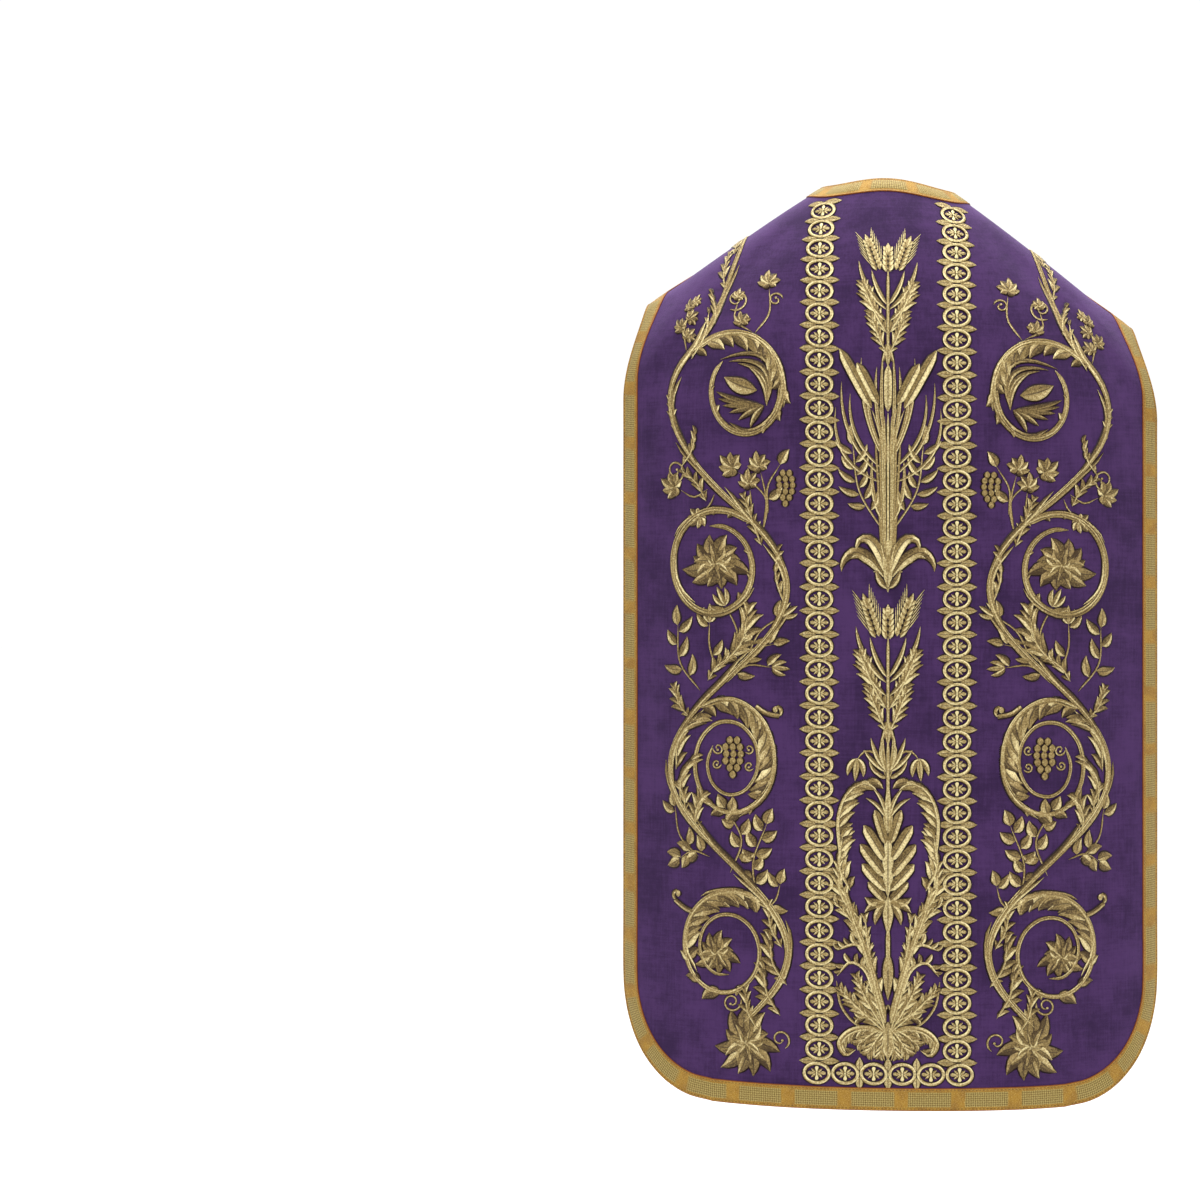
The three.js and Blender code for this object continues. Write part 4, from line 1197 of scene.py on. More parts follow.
def side_panel(work, first=0.0, shift=0.0, limit=None):
    """Everything beside the chains from the depth first downwards, moved down by shift. Leaves and twigs
    that would pass the limit across, a function of the depth, are left out."""

    def inside(depth):
        """Whether a depth belongs to this panel."""
        return first <= depth <= PANEL_FOOT

    def clear(x, y, room):
        """Whether a motif that reaches room past x stays within the limit."""
        return limit is None or x + room < limit(y + shift)

    move = np.array([0.0, shift])
    depths = np.arange(max(first, STEM_TOP), STEM_FOOT, STEM_STEP)
    line = np.stack([stem_across(depths), depths], 1)
    if first < STEM_TOP:
        line = np.concatenate([shoulder_stem()[:-1], line])
    work.fluted(line + move, 4.4, 6.6, rise=1.3, lift=0.35, tone=0.56, gap=7)
    work.sheaths((line + move)[::-1], 8.0, int(len(line) / 5.5))
    for row in SCROLLS:
        if inside(row[2]):
            scroll(work, row, move)
    for index, start, end, size, lobes, side in SCROLL_LEAVES:
        row = SCROLLS[index]
        if inside(row[2]):
            share = (np.linspace(start, end, 6) * 100).astype(int)
            turn = side * row[5] * np.sign(end - start)
            lean = 50 if side > 0 else 24
            rib = scroll_line(row, 101)[share] + move
            work.frond(rib, size, lobes, side=turn, lean=lean, rib=4.0, tone=0.48, full=1.0, plump=0.6)
    for x, y, to_x, to_y, bow, size, lobes, side in STEM_LEAVES:
        if inside(y) and clear(max(x, to_x), min(y, to_y), size):
            root, tip = np.array([x, y + shift]), np.array([to_x, to_y + shift])
            middle = mix(root, tip, 0.5) + turned_by(tip - root, SQUARE) * bow
            work.frond([root, middle, tip], size, lobes, side=side, rib=2.4)
    for x, y, to_x, to_y, bow, leaves, long, wide, end in TWIGS:
        if inside(y) and clear(max(x, to_x), min(y, to_y), long):
            twig(work, (x, y + shift), (to_x, to_y + shift), bow, leaves, long, wide, end)
    for x, y, size, turns, start, hand in TENDRILS:
        if inside(y):
            work.curl((x, y + shift), size, turns, start, 1.9, hand=hand)
    for x, y, to_x, to_y, size, start, hand in HOOKS:
        if inside(y):
            root, rim = np.array([x, y + shift]), np.array([to_x, to_y + size + shift])
            path = [root, mix(root, rim, 0.5) + [0, 2.5], rim - [3.0 * hand, 0]]
            work.stroke(path, 6.4, 5.6, rise=1.5, lift=0.8, tone=0.55, gap=3, tip=False)
            work.curl((to_x, to_y + shift), size, 0.7, start, 5.0, hand=hand, tone=0.55)
    for x, y, size, petals, layers, squash, spin in FLOWER_HEADS:
        if inside(y):
            work.flower((x, y + shift), size, petals, layers, tone=0.36, squash=squash, spin=spin)
    for x, y, rows, size in GRAPES:
        if inside(y):
            work.grapes((x, y + shift), rows, size, tone=0.5)
    x, y, size = LOTUS
    if inside(y):
        lotus(work, x, y + shift, size)


# The middle column, drawn for u over 0. What stands on the middle line isn't mirrored.
def points_from(top, size=1.0, way=1.0):
    """Gives a function for a motif's points: across, then down from its top, or up from its foot where way
    is -1."""
    return lambda x, y: (x * size, top + way * y * size)


def on_axis(work, low, high, width, rise=1.4, tone=0.6):
    """One leaf on the middle line."""
    work.middle = True
    work.leaves((0, low), (0, high), width, rise=rise, lift=0.45, tone=tone, steps=9)
    work.middle = False


def axis_stem(work, top, foot, width, tone=0.62):
    """A stem down the middle line."""
    work.middle = True
    work.stroke([(0, top), (0, (top + foot) / 2), (0, foot)], width, width, rise=1.4, lift=0.4, tone=tone)
    work.middle = False


def sheaf(work, top, size=1.0):
    """Three ears of wheat over long blades and two pairs of acanthus leaves, from its top downwards."""
    at = points_from(top, size)
    work.ear(at(11, 50), at(25, 8), 19 * size, tone=0.58)
    work.middle = True
    work.ear(at(0, 52), at(0, 20), 20 * size, grains=5, tone=0.66, awns=False)
    work.middle = False
    axis_stem(work, top + 50 * size, top + 150 * size, 3.4)
    work.leaves(at(1, 98), at(34, 38), 7 * size, bow=0.1, rise=1.2, lift=0.4, tone=0.55, fat=0.7, steps=10)
    work.leaves(at(1, 92), at(19, 50), 5.6 * size, bow=0.06, rise=1.2, lift=0.7, tone=0.62, fat=0.7,
                steps=9)
    work.leaves(at(1, 112), at(29, 62), 6.4 * size, bow=0.1, rise=1.2, lift=0.5, tone=0.55, fat=0.7,
                steps=9)
    work.frond([at(1, 126), at(14, 104), at(29, 68)], 10 * size, 8, lean=26, rib=2.6)
    work.frond([at(1, 150), at(9, 134), at(20, 106)], 8 * size, 6, lean=28, rib=2.4)
    work.leaves(at(1, 142), at(7, 160), 7, bow=0.05, rise=1.0, lift=0.3)
    on_axis(work, top + 138 * size, top + 164 * size, 9 * size)


def reeds(work, top, foot):
    """Bulrushes and arching blades over a bundle of stems."""
    neck = top + 150
    work.pods([(19, top + 74), (11, top + 70)], [(56, top + 6), (36, top + 22)], 13.5, rise=1.8, lift=0.5,
              tone=0.55)
    for root, x, y, bow, width in ((150, 19, 76, -0.05, 3.4), (146, 11, 72, -0.04, 3.2)):
        work.leaves((3, top + root), (x, top + y), width, bow=bow, lift=0.4, tone=0.55, vein=0.0, fat=1.0,
                    steps=9)
    work.middle = True
    work.pods((0, top + 78), (0, top + 24), 11, rise=1.8, lift=0.6, tone=0.66)
    work.middle = False
    blades = (
        (61, 74, 0.20), (54, 44, 0.13), (44, 58, 0.14), (31, 16, 0.07), (24, 46, 0.07), (13, 26, 0.05),
        (6, 12, 0.02),
    )
    for x, y, bow in blades:
        work.leaves((5, top + 104 + 0.95 * x), (x, top + y), 4.6, bow=bow, lift=0.3, tone=0.55, steps=12)
    work.leaves((4, neck + 60), (18, neck - 16), 6, bow=0.08, lift=0.3, tone=0.55, fat=0.7, steps=10)
    work.fluted([(8.0, top + 96), (7.2, neck + 10), (4.4, foot)], 6.0, 3.6, strands=2, rise=1.2, tone=0.5,
                gap=8)
    work.stroke([(14.5, top + 112), (11.0, neck + 24), (6.4, foot)], 2.4, 2.0, rise=1.1, tone=0.45, gap=8)
    axis_stem(work, top + 80, foot + 8, 2.6, tone=0.7)
    work.stroke([(4.0, top + 84), (3.6, neck + 10), (2.6, foot)], 1.8, 1.6, rise=1.3, lift=0.35, tone=0.6)


def leafy_twig(work, foot, top, across):
    """A twig with long pointed leaves beside the stems."""
    twig(work, (6, foot), (across, top), 0.10, 10, 26, 9, "leaf")


def lily(work, foot):
    """A lily in profile: two pairs of petals that arch out and curl down, round an upright middle."""
    at = points_from(foot, way=-1.0)
    work.petal([at(1, 2), at(18, 24), at(38, 35), at(52, 24), at(54, 12)], 15, lift=0.3, tone=0.45)
    work.frond([at(6, 8), at(22, 26), at(42, 33)], 8, 5, side=1, rib=2.0)
    work.petal([at(1, 6), at(10, 34), at(22, 50), at(34, 48), at(37, 36)], 14, lift=0.7, tone=0.6)
    work.frond([at(4, 14), at(12, 36), at(24, 50)], 7, 5, side=1, rib=2.0)
    work.leaves(at(1, 4), at(9, 46), 10, bow=-0.06, rise=1.5, lift=1.0)
    on_axis(work, foot + 12, foot - 56, 13, rise=1.8, tone=0.62)
    work.leaves(at(0, -8), at(14, 14), 9, bow=0.1, rise=1.4, lift=1.1, tone=0.45)


def bouquet(work, foot):
    """Small leaf sprays and a drooping bell on a bowed stem."""
    at = points_from(foot, way=-1.0)
    work.leaves(at(1, -4), [at(28, 22), at(20, 36), at(9, 28), at(6, 42)], 7, bow=0.06, lift=0.35,
                tone=0.58)
    work.stroke([at(1, -12), at(12, 16), at(27, 20), at(36, 10)], 2.4, 2.0)
    work.bud(at(36, 12), at(38, -12), tone=0.55)
    work.leaves(at(1, -10), [at(22, 10), at(14, -2)], 5.5, bow=0.16, lift=0.3, tone=0.55)
    axis_stem(work, foot - 34, foot + 52, 4.0)


def lyre(work, top):
    """A wreath of half acanthus leaves round a palmette, on two thick stalks that meet at the foot."""
    at = points_from(top)
    work.frond([at(55, 96), at(58, 50), at(45, 18), at(16, 4)], 20, 11, side=-1, lean=46, rib=5.0, full=0.9,
               plump=0.62)
    work.frond([at(44, 134), at(57, 104), at(52, 66)], 16, 7, side=-1, lean=42, rib=4.0, full=0.9,
               plump=0.62)
    work.frond([at(34, 166), at(54, 140), at(58, 106)], 10, 7, lean=28, rib=4.0, full=0.7)
    on_axis(work, top + 74, top + 6, 10, rise=1.7, tone=0.66)
    on_axis(work, top + 76, top + 34, 17, rise=1.5, tone=0.55)
    work.leaves(at(2, 50), [at(18, 14), at(26, 26)], 5.6, bow=-0.1, rise=1.2, lift=0.5, tone=0.6)
    lobes = ((80, 15, 40, 12), (100, 28, 58, 14), (118, 32, 80, 14.5), (134, 30, 103, 14), (147, 23, 124, 12))
    for k, (root, x, y, width) in enumerate(lobes):
        work.pods(at(2, root), at(x, y), width, lift=1.0 - 0.12 * k, tone=0.46 + 0.08 * (k % 2))
    on_axis(work, top + 142, top + 58, 15, rise=2.0, tone=0.7)
    for x, y, width, bow in ((27, 142, 13, 0.16), (27, 160, 11, -0.14), (15, 174, 10, -0.14)):
        work.leaves(at(0, 148), at(x, y), width, bow=bow, rise=1.4, lift=1.0, fat=1.0)
    on_axis(work, top + 140, top + 186, 14, rise=1.8, tone=0.66)
    axis_stem(work, top + 176, top + 232, 6.0)
    on_axis(work, top + 206, top + 262, 14, rise=1.6, tone=0.5)
    stalk = [at(3, 288), at(14, 246), at(26, 206), at(40, 168), at(52, 130)]
    work.stroke(stalk, 7.0, 4.0, rise=1.9, lift=0.4, tone=0.58, gap=6, belly=3.0)
    work.fluted(stalk, 9.0, 6.0, rise=1.6, lift=0.7, tone=0.56)
    work.frond(stalk, 11, 7, lean=24, full=0.7)
    work.frond([at(22, 214), at(38, 176), at(61, 148)], 9, 5, lean=26, full=0.6)
    work.frond([at(12, 250), at(22, 206), at(27, 164)], 7, 5, lean=24, full=0.6)
    work.frond([at(18, 214), at(36, 197), at(59, 204)], 12, 8, side=-1, lean=66, rib=5.0, tone=0.52,
               plump=0.5)
    work.frond([at(16, 256), at(26, 228), at(44, 218), at(59, 234)], 12, 9, side=-1, lean=62, rib=5.0,
               tone=0.52, plump=0.5)
    for x, y, size in ((54, 250, 9), (36, 236, 9), (19, 238, 8)):
        work.frond([at(2, 300), at(0.7 * x, 0.5 * (y + 286)), at(x, y)], size, 8, lean=26, rib=2.6)
    work.stroke([at(3, 298), at(34, 292), at(54, 270), at(60, 240)], 3.0, 2.2)


def foot_leaves(work, top):
    """The scrolled and toothed leaves that spread under the lyre."""
    at = points_from(top)
    curled = [at(2, 12), at(22, 6), at(44, 10), at(57, 24), at(50, 38), at(38, 32)]
    work.stroke(curled, 6.0, 3.6, rise=1.7, lift=0.4, tone=0.6, gap=5, belly=2.0)
    work.frond([at(6, 12), at(24, 8), at(44, 14), at(54, 26), at(46, 35)], 11, 10, side=1, lean=46,
               full=1.0)
    for x, y, size in ((32, 24, 10), (22, 34, 10), (9, 38, 8)):
        work.frond([at(1, 6), at(x * 0.5, y * 0.5), at(x, y)], size, 6, rib=2.4)
    work.frond([at(2, 8), at(18, -6), at(34, -4)], 8, 6, rib=2.4)
    on_axis(work, top + 2, top + 46, 14, rise=1.6, tone=0.56)


def shoulder_tip(work):
    """The end of the back's stem, over the shoulder line, and its last leaves, spread over the front of the
    shoulder. They are drawn in cloth coordinates, across and down the front from the shoulder line."""
    u, depth = STEM_START
    behind = depth + 2 - float(depth_shift(u, True))
    root = 184
    work.fluted([(204, -behind - 16), (200, 2 - behind * 0.5), (root - 1, 34)], 4.8, 4.6)
    for x, y, size in ((150, 56, 12), (166, 67, 12), (186, 69, 12), (204, 58, 11)):
        rib = [(root, 22), (mix(root, x, 0.5), 36), (x, y)]
        work.frond(rib, size, 5, lean=36, rib=2.4, full=1.0, plump=0.55)


# Settings
def tint(name, value, note):
    """A colour that can be set, as sRGB values from 0 to 1."""
    return FloatVectorProperty(
        name=name, description=note, default=value, subtype="COLOR_GAMMA", size=3, min=0, max=1)


class ChasubleCloth(bpy.types.PropertyGroup):
    """Colours of the velvet and the lining, and how fine the cloth is cut"""

    # The velvet's two colours: painted shade in the hollows of the nap's bump and painted light on its crests
    velvet_dark: tint("Velvet shade", (0.165, 0.088, 0.222), "Colour of the velvet in the hollows of its nap")
    velvet_light: tint("Velvet light", (0.25, 0.152, 0.318), "Colour of the velvet on the crests of its nap")
    sheen_colour: tint("Sheen", (0.74, 0.62, 0.86), "Colour of the velvet's pile where light grazes it")
    sheen: FloatProperty(name="Sheen amount", description="How much the pile shines at grazing light",
                         default=0.25, min=0, max=1, subtype="FACTOR")
    # The lining's two colours: painted shade in the cockling's hollows and painted light on its crests
    silk_dark: tint("Lining shade", (0.3, 0.205, 0.365), "Colour of the lining silk in its hollows")
    silk_light: tint("Lining light", (0.37, 0.27, 0.43), "Colour of the lining silk on its crests")
    fineness: IntProperty(name="Fineness", description="Parts that each cell of the solids' net is cut into",
                          default=4, min=1, max=6)


class ChasubleBraid(bpy.types.PropertyGroup):
    """Colours of the gold braid and the measures of its blocks"""

    braid_ground: tint("Ground", (0.6, 0.45, 0.13), "Colour of the braid's ground where it is brightest")
    braid_dark: tint("Ground shade", (0.51, 0.365, 0.1), "Colour of the braid's ground where it is worn")
    braid_pale: tint("Figure", (0.6, 0.53, 0.3), "Colour of the paler woven blocks")
    braid_figure_dark: tint("Figure shade", (0.4, 0.315, 0.12), "Colour between the diamonds of the blocks")
    braid_copper: tint("Edge line", (0.5, 0.24, 0.06), "Colour of the line along each edge")
    block_pitch: FloatProperty(name="Block pitch", description="Distance between the middles of two blocks",
                               default=0.066, min=0.02, unit="LENGTH")
    block_length: FloatProperty(name="Block length", description="Length of a woven block along the braid",
                                default=0.05, min=0.01, unit="LENGTH")


class ChasubleThread(bpy.types.PropertyGroup):
    """Colours of the gold thread and its outline"""

    thread_gold: tint("Gold", (0.57, 0.48, 0.28), "Main colour of the gold thread")
    thread_pale: tint("Pale gold", (0.87, 0.81, 0.6), "Colour of the palest stitches")
    thread_shade: tint("Shade gold", (0.24, 0.17, 0.06), "Colour of the darkest stitches")
    # Dark brown of the couched outline, also painted shadow at the strips' feet and painted shade in the
    # veins' grooves
    thread_line_and_shade: tint("Outline", (0.13, 0.045, 0.02), "Colour of the couched outline and the veins")
    outline_from: FloatProperty(name="Outline from", description="Share of the couched line that stays gold",
                                default=0.05, min=0.0, max=0.6, subtype="FACTOR")


class ChasubleStage(bpy.types.PropertyGroup):
    """The floor and the lights"""

    floor_height: FloatProperty(name="Floor height", description="Height of the floor above the origin",
                                default=-1.46, unit="LENGTH")
    floor_radius: FloatProperty(name="Floor radius", description="Radius of the round floor",
                                default=60.0, min=1, unit="LENGTH")
    sky: FloatProperty(name="Sky strength", description="Strength of the pale surroundings",
                       default=1.04, min=0)
    lamp: FloatProperty(name="Lamp power", description="Power of the soft box overhead, in watts",
                        default=150.0, min=0)
    fill: FloatProperty(name="Fill power", description="Power of each of the two soft side lights, in watts",
                        default=10.0, min=0)


# Operators
class CHASUBLE_OT_velvet(bpy.types.Operator):
    """Hang the two velvet panels on their solids: the back with its shoulder straps, and the front"""

    bl_idname = "chasuble.velvet"
    bl_label = "Velvet panels"

    def execute(self, context):
        cloth = context.scene.chasuble_cloth
        velvet = material("cotton_velvet", velvet_material, cloth)
        silk = material("silk_twill", silk_material, cloth)
        back = wall("back_velvet", back_cells(cloth.fineness), 0, -VELVET, [velvet])
        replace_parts(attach(back, "root"), "back_panel")
        net, side, hem = front_net()
        n = cloth.fineness
        front_cells = [cells(fine(net, n, n)), cells(fine(np.stack([net[-1], hem]), 3, n))]
        front_cells += both(fine(np.stack([net[:, -1], side], 1), n, 3))
        front = wall("front_velvet", front_cells, 0, -VELVET, [velvet, silk])
        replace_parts(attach(front, "root"), "front_panel")
        return {"FINISHED"}


def back_cells(n):
    """The cells of the whole back, straps and braided margins included, each net cut n times finer."""
    net, side, hem, nape = back_net()
    strap, neck, arm = strap_net()
    bare_nape = nape * [NECK_HALF / NECK_RING, NAPE / (NAPE + NECK_BRAID)]
    middle, wing = net[:, : NECK_CELLS + 1], net[:, NECK_CELLS:]
    found = [cells(fine(full(middle), n, n)), cells(fine(full(np.stack([bare_nape, nape])), 3, n))]
    found += both(fine(wing, n, n)) + both(fine(strap, n, n))
    found += both(fine(np.stack([neck, strap[:, 0]], 1), n, 3))
    found += both(fine(np.stack([strap[:, -1], arm], 1), n, 3))
    found += both(fine(np.stack([net[:, -1], side], 1), n, 3))
    found.append(cells(fine(full(np.stack([net[-1], hem])[:, : NECK_CELLS + 1]), 3, n)))
    found += both(fine(np.stack([net[-1], hem])[:, NECK_CELLS:], 3, n))
    return found


class CHASUBLE_OT_lining(bpy.types.Operator):
    """Line the back and its straps with thin silk, the same cut as the velvet"""

    bl_idname = "chasuble.lining"
    bl_label = "Lining"

    def execute(self, context):
        cloth = context.scene.chasuble_cloth
        silk = material("silk_twill", silk_material, cloth)
        inner = -VELVET - PLAY
        lining = wall("back_silk", back_cells(cloth.fineness), inner, inner - LINING, [silk])
        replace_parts(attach(lining, "root"), "back_lining")
        return {"FINISHED"}


# The braid's section: places across it from -1 to 1, and its height at each as a share of its thickness
BRAID_SECTION = np.array([-1.0, -0.93, -0.86, -0.78, -0.66, -0.6, 0.0, 0.6, 0.66, 0.78, 0.86, 0.93, 1.0])
BRAID_PROFILE = np.array([0.0, 1.0, 1.0, 0.62, 0.7, 0.72, 0.74, 0.72, 0.7, 0.62, 1.0, 1.0, 0.0])


# The raise of a woven block, the ease at its ends, and the parts each cell of a braid is cut into
BLOCK_RISE, BLOCK_EASE, BRAID_PARTS = 0.3, 0.0012, 10
NECK_PITCH, CHEST_PITCH, CHEST_ROWS = 0.054, 0.083, 181


def braid_strip(name, rail, lift, node, gold, sizes, pitch=None):
    """A woven braid carried along two rails of u and s, inner edge first: a section with a cord at each edge,
    a groove inside it and blocks raised in the middle at an even pitch, joined flat below."""
    count, wide = len(rail), len(BRAID_SECTION)
    share = (BRAID_SECTION + 1) / 2
    grid = mix(rail[:, 0][:, None], rail[:, 1][:, None], share[:, None])
    middle = raised(grid[:, wide // 2, 0], grid[:, wide // 2, 1], np.zeros(count))
    edges = [raised(rail[:, k, 0], rail[:, k, 1], np.zeros(count)) for k in (0, 1)]
    width = np.linalg.norm(edges[1] - edges[0], axis=1)
    run = np.concatenate([[0], np.cumsum(np.linalg.norm(np.diff(middle, axis=0), axis=1))])
    pitch = pitch or sizes.block_pitch
    away = np.abs(run / pitch % 1 - 0.5) * pitch
    long = sizes.block_length * pitch / sizes.block_pitch / 2
    in_length = 1 - ease(away, long - BLOCK_EASE, long + BLOCK_EASE)
    in_width = 1 - ease(np.abs(BRAID_SECTION), 0.6, 0.68)
    block = in_length[:, None] * in_width
    height = lift + (BRAID - 0.25) * BRAID_PROFILE + BLOCK_RISE * block
    height[:, [0, -1]] = lift
    spots = raised(grid[..., 0].ravel(), grid[..., 1].ravel(), height.ravel())
    rows, column = np.arange(count - 1)[:, None], np.arange(wide)
    beside = (column + 1) % wide
    quads = np.stack([rows * wide + column, (rows + 1) * wide + column,
                      (rows + 1) * wide + beside, rows * wide + beside], -1).reshape(-1, 4)
    fan = np.stack([np.zeros(wide - 2, int), np.arange(1, wide - 1), np.arange(2, wide)], -1)
    caps = np.concatenate([fan, fan[:, ::-1] + (count - 1) * wide])
    ahead, aside = grid[1, wide // 2] - grid[0, wide // 2], grid[0, -1] - grid[0, 0]
    if ahead[0] * aside[1] - ahead[1] * aside[0] < 0:
        quads, caps = quads[:, ::-1], caps[:, ::-1]
    uv = np.stack([np.repeat(run[:, None], wide, 1), width[:, None] * BRAID_SECTION / 2], -1).reshape(-1, 2)
    facts = np.stack([np.broadcast_to(BRAID_SECTION, block.shape), block, 0 * block], -1).reshape(-1, 3)
    piece = new_piece(name, spots, quads, caps, [gold], None, uv, facts)
    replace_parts(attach(piece, "root"), node)
    return piece


def rail_of(parts, n):
    """Joins nets of two points a row end to end into one smooth pair of rails."""
    runs = [smooth_rows(part, n) for part in parts]
    return np.concatenate([run if k == 0 else run[1:] for k, run in enumerate(runs)])


class CHASUBLE_OT_braid(bpy.types.Operator):
    """Lay the gold braid round the edges and the neck and across the chest seam"""

    bl_idname = "chasuble.braid"
    bl_label = "Gold braid"

    def execute(self, context):
        sizes = context.scene.chasuble_braid
        gold = material("woven_gold", braid_material, sizes)
        net, side, hem, nape = back_net()
        strap, neck, arm = strap_net()
        n = BRAID_PARTS
        arm_rail = np.stack([strap[:, -1], arm], 1)[::-1]
        side_rail = np.stack([net[:, -1], side], 1)
        hem_rail = np.stack([full(net[-1:])[0], full(hem[None])[0]], 1)[::-1]
        half = [arm_rail, side_rail]
        other = [part[::-1] * [-1, 1] for part in half[::-1]]
        edge = rail_of(half + [hem_rail] + other, n)
        braid_strip("galloon_back_edge", edge, PLAY, "braid_back_edge", gold, sizes)
        neck_rail = np.stack([neck, strap[:, 0]], 1)[:-1][::-1]
        bare = nape * [NECK_HALF / NECK_RING, NAPE / (NAPE + NECK_BRAID)]
        nape_rail = np.stack([full(bare[None])[0], full(nape[None])[0]], 1)[::-1]
        rails = [neck_rail, nape_rail, neck_rail[::-1] * [-1, 1]]
        braid_strip("galloon_neck", rail_of(rails, n), PLAY, "braid_neck", gold, sizes, NECK_PITCH)
        net, side, hem = front_net()
        side_rail = np.stack([net[:, -1], side], 1)
        hem_rail = np.stack([net[-1], hem], 1)[::-1]
        rails = [side_rail, hem_rail, side_rail[::-1] * [-1, 1]]
        braid_strip("galloon_front_edge", rail_of(rails, n), PLAY, "braid_front_edge", gold, sizes)
        end = CHEST_HALF - EDGE_BRAID - PLAY
        u = np.linspace(-end, end, CHEST_ROWS)
        rails = np.stack([on_front(u, chest_top(u)), on_front(u, chest_top(u) + CHEST_BRAID)], 1)
        braid_strip("galloon_chest", rails, BAND_LIFT, "braid_chest", gold, sizes, CHEST_PITCH)
        return {"FINISHED"}


class CHASUBLE_OT_chains(bpy.types.Operator):
    """Work the two framing chains and the row of links at the foot, on the back and on the front"""

    bl_idname = "chasuble.chains"
    bl_label = "Embroidered chains"

    def execute(self, context):
        back = Needlework(0.12)
        chains(back, top=12.0, foot=1018.0, pitch=27.7, row_depth=1046.0, row_spacing=33.2)
        finish_work(back, "back_chains", on_back)
        front = Needlework(0.12)
        chains(front, top=262.0, foot=886.0, pitch=27.6, row_depth=914.0, row_spacing=33.0)
        finish_work(front, "front_chains", on_front)
        return {"FINISHED"}


class CHASUBLE_OT_back_middle(bpy.types.Operator):
    """Work the back's middle column: wheat, reeds, lily, wheat, bouquet and lyre"""

    bl_idname = "chasuble.back_middle"
    bl_label = "Back, middle column"

    def execute(self, context):
        work = Needlework()
        sheaf(work, top=56)
        reeds(work, top=195, foot=462)
        leafy_twig(work, foot=412, top=312, across=41)
        lily(work, foot=472)
        sheaf(work, top=482, size=1.1)
        bouquet(work, foot=690)
        lyre(work, top=698)
        foot_leaves(work, top=986)
        finish_work(work, "back_middle", on_back)
        return {"FINISHED"}


class CHASUBLE_OT_back_sides(bpy.types.Operator):
    """Work the four scrolls, their leaves, flowers and grapes on both sides of the back"""

    bl_idname = "chasuble.back_sides"
    bl_label = "Back, side scrolls"

    def execute(self, context):
        work = Needlework(-0.08)
        side_panel(work)
        finish_work(work, "back_sides", on_back)
        return {"FINISHED"}


class CHASUBLE_OT_front_middle(bpy.types.Operator):
    """Work the front's middle column: wheat, leafy twigs, lily, bouquet and lyre"""

    bl_idname = "chasuble.front_middle"
    bl_label = "Front, middle column"

    def execute(self, context):
        work = Needlework()
        sheaf(work, top=268)
        axis_stem(work, 400, 532, 3.6, tone=0.7)
        work.fluted([(5.4, 408), (6.4, 470), (5.0, 526)], 6.0, 5.0, strands=2, rise=1.2, tone=0.5, gap=8)
        leafy_twig(work, foot=474, top=380, across=40)
        lily(work, foot=528)
        bouquet(work, foot=560)
        lyre(work, top=567)
        foot_leaves(work, top=855)
        finish_work(work, "front_middle", on_front)
        return {"FINISHED"}


class CHASUBLE_OT_front_sides(bpy.types.Operator):
    """Work the lower scrolls on both sides of the front, and the leaf tips over the shoulders"""

    bl_idname = "chasuble.front_sides"
    bl_label = "Front, side scrolls"

    def execute(self, context):
        work = Needlework(-0.08)
        side_panel(work, first=474, shift=-127, limit=lambda depth: front_half(depth) - EDGE_BRAID)
        work.frond([(119, 350), (124, 318), (140, 284)], 9, 6, lean=26)
        finish_work(work, "front_sides", on_front)
        tips = Needlework(0.05)
        shoulder_tip(tips)
        finish_work(tips, "shoulder_tips", lambda u, down: np.stack([u, -down], -1))
        return {"FINISHED"}


def finish_work(work, name, onto):
    """Makes the needlework a piece in gold thread that rides on its panel."""
    gold = material("gold_thread", thread_material, bpy.context.scene.chasuble_thread)
    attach(work.piece(name, onto, gold), "root")


# The camera looks level at the back, which stands BACK_ASIDE pixels right of the middle of a picture that is
# PICTURE pixels wide
CAMERA_SPOT, LENS, SENSOR = (0, 3.64, -0.493), 89.73, 36.0
PICTURE, BACK_ASIDE = 1200, 288
FLOOR_SIDES = 64
SOFT_BOX, SIDE_BOX = 2.6, 2.0


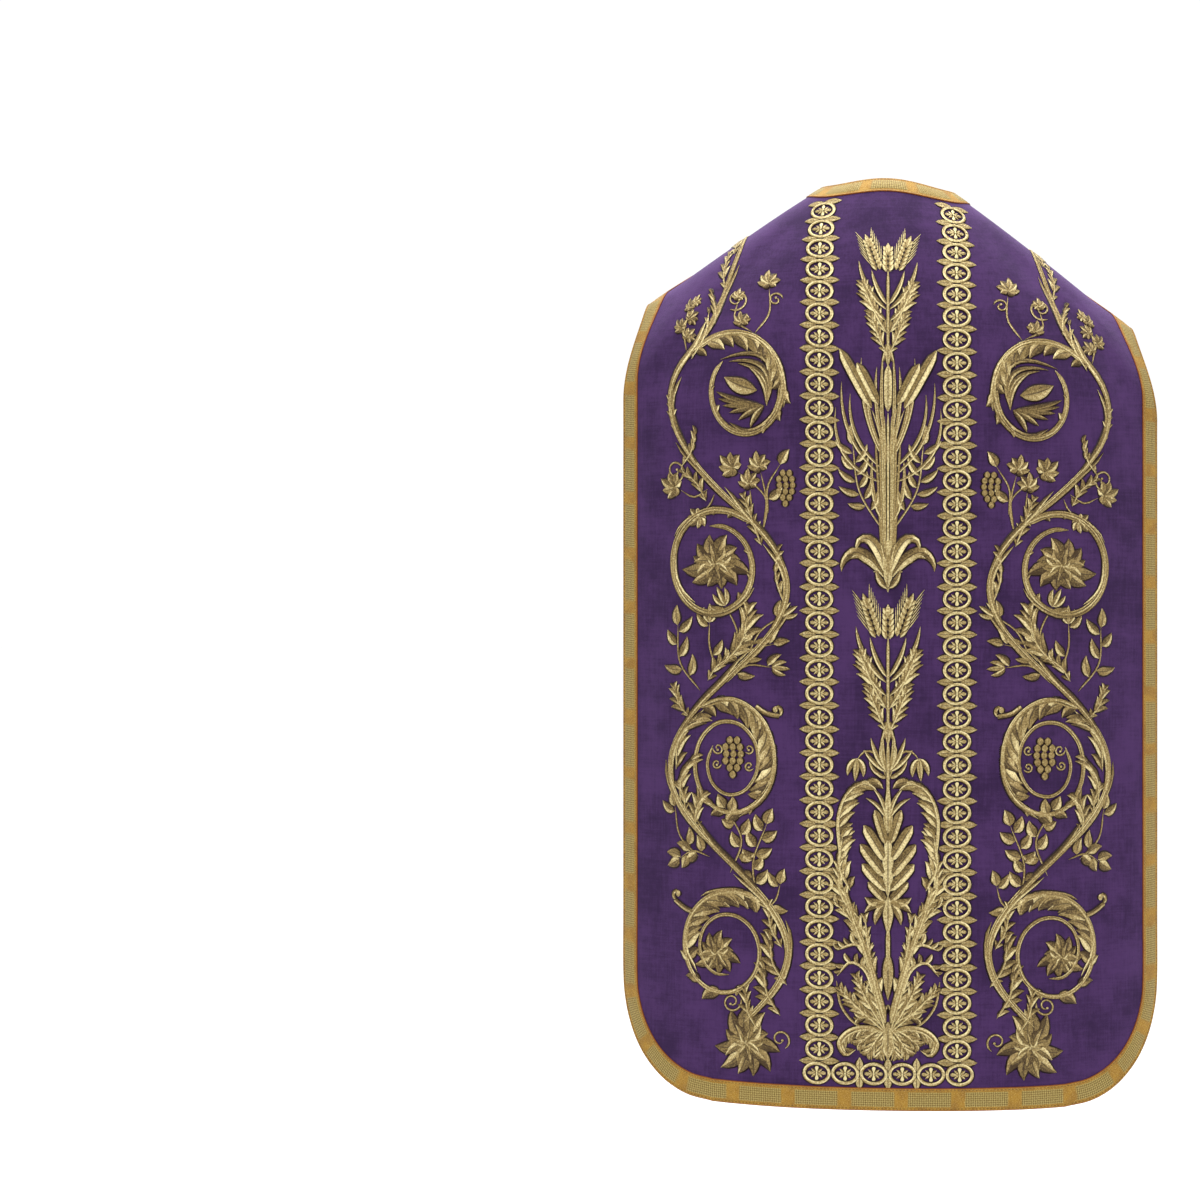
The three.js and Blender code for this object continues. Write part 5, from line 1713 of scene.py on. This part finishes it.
class CHASUBLE_OT_stage(bpy.types.Operator):
    """Set up the camera, the floor, the pale surroundings and the soft lights"""

    bl_idname = "chasuble.stage"
    bl_label = "Stage"

    def execute(self, context):
        stage = context.scene.chasuble_stage
        angle = np.linspace(0, 2 * np.pi, FLOOR_SIDES, endpoint=False)
        rim = np.stack([np.cos(angle), np.sin(angle), 0 * angle], 1) * stage.floor_radius
        rim[:, 2] = stage.floor_height
        mesh = bpy.data.meshes.new("floor")
        mesh.from_pydata(rim.tolist(), [], [list(range(FLOOR_SIDES))])
        floor = bpy.data.objects.new("floor", mesh)
        context.scene.collection.objects.link(floor)
        g = Graph("floor_paint")
        grain = g.noise(g.add("ShaderNodeTexCoord", output=3), 2.0, 2.0)
        white = g.blend(g.ramp(grain, 0.3, 0.7), rgba((0.99, 0.99, 0.99)), rgba((0.995, 0.995, 0.995)))
        mesh.materials.append(g.finish(Base_Color=white, Roughness=0.9, Specular_IOR_Level=0.1))
        world = bpy.data.worlds.new("surroundings")
        world.use_nodes = True
        world.node_tree.nodes["Background"].inputs[0].default_value = (1, 1, 1, 1)
        world.node_tree.nodes["Background"].inputs[1].default_value = stage.sky
        context.scene.world = world
        self.light("overhead", (0, 0, 2.2), SOFT_BOX, stage.lamp)
        self.light("behind", (-1.6, 3.4, 1.3), SIDE_BOX, stage.fill)
        self.light("before", (1.6, -3.4, 1.3), SIDE_BOX, stage.fill)
        context.scene.view_settings.view_transform = "Standard"
        camera = bpy.data.objects.new("camera", bpy.data.cameras.new("camera"))
        context.scene.collection.objects.link(camera)
        camera.data.lens, camera.data.sensor_width = LENS, SENSOR
        yaw = np.arctan2(BACK_ASIDE * SENSOR / PICTURE, LENS)
        look = Vector((np.sin(yaw), -np.cos(yaw), 0))
        camera.location = CAMERA_SPOT
        camera.rotation_mode = "QUATERNION"
        camera.rotation_quaternion = look.to_track_quat("-Z", "Y")
        context.scene.camera = camera
        return {"FINISHED"}

    def light(self, name, spot, size, power):
        """A square soft box that faces the middle of the garment."""
        data = bpy.data.lights.new(name, "AREA")
        data.size, data.energy = size, power
        lamp = bpy.data.objects.new(name, data)
        bpy.context.scene.collection.objects.link(lamp)
        aim = Vector((0, 0, -0.5)) - Vector(spot)
        lamp.matrix_world = Matrix.Translation(spot) @ aim.to_track_quat("-Z", "Y").to_matrix().to_4x4()


class CHASUBLE_OT_declare(bpy.types.Operator):
    """A step that does nothing but report itself finished"""

    bl_idname = "chasuble.declare"
    bl_label = "State the sheets"

    def execute(self, context):
        return {"FINISHED"}


class CHASUBLE_PT_panel(bpy.types.Panel):
    """The chasuble's steps and settings"""

    bl_label = "Chasuble"
    bl_idname = "CHASUBLE_PT_panel"
    bl_space_type = "VIEW_3D"
    bl_region_type = "UI"
    bl_category = "Chasuble"

    def draw(self, context):
        for step in STEPS:
            self.layout.operator(step.bl_idname)
        for group in GROUPS:
            values = getattr(context.scene, group)
            box = self.layout.box()
            for name in values.__annotations__:
                box.prop(values, name)


STEPS = (
    CHASUBLE_OT_velvet,
    CHASUBLE_OT_lining,
    CHASUBLE_OT_braid,
    CHASUBLE_OT_chains,
    CHASUBLE_OT_back_middle,
    CHASUBLE_OT_back_sides,
    CHASUBLE_OT_front_middle,
    CHASUBLE_OT_front_sides,
    CHASUBLE_OT_declare,
    CHASUBLE_OT_stage,
)
GROUPS = {
    "chasuble_cloth": ChasubleCloth,
    "chasuble_braid": ChasubleBraid,
    "chasuble_thread": ChasubleThread,
    "chasuble_stage": ChasubleStage,
}


def register():
    """Registers the settings, the steps and the panel."""
    for kind in (*GROUPS.values(), *STEPS, CHASUBLE_PT_panel):
        bpy.utils.register_class(kind)
    for name, kind in GROUPS.items():
        setattr(bpy.types.Scene, name, PointerProperty(type=kind))


def unregister():
    """Takes them out again."""
    for name in GROUPS:
        delattr(bpy.types.Scene, name)
    for kind in reversed((*GROUPS.values(), *STEPS, CHASUBLE_PT_panel)):
        bpy.utils.unregister_class(kind)


def main():
    register()
    for step in STEPS:
        group, call = step.bl_idname.split(".")
        getattr(getattr(bpy.ops, group), call)()


if __name__ == "__main__":
    main()
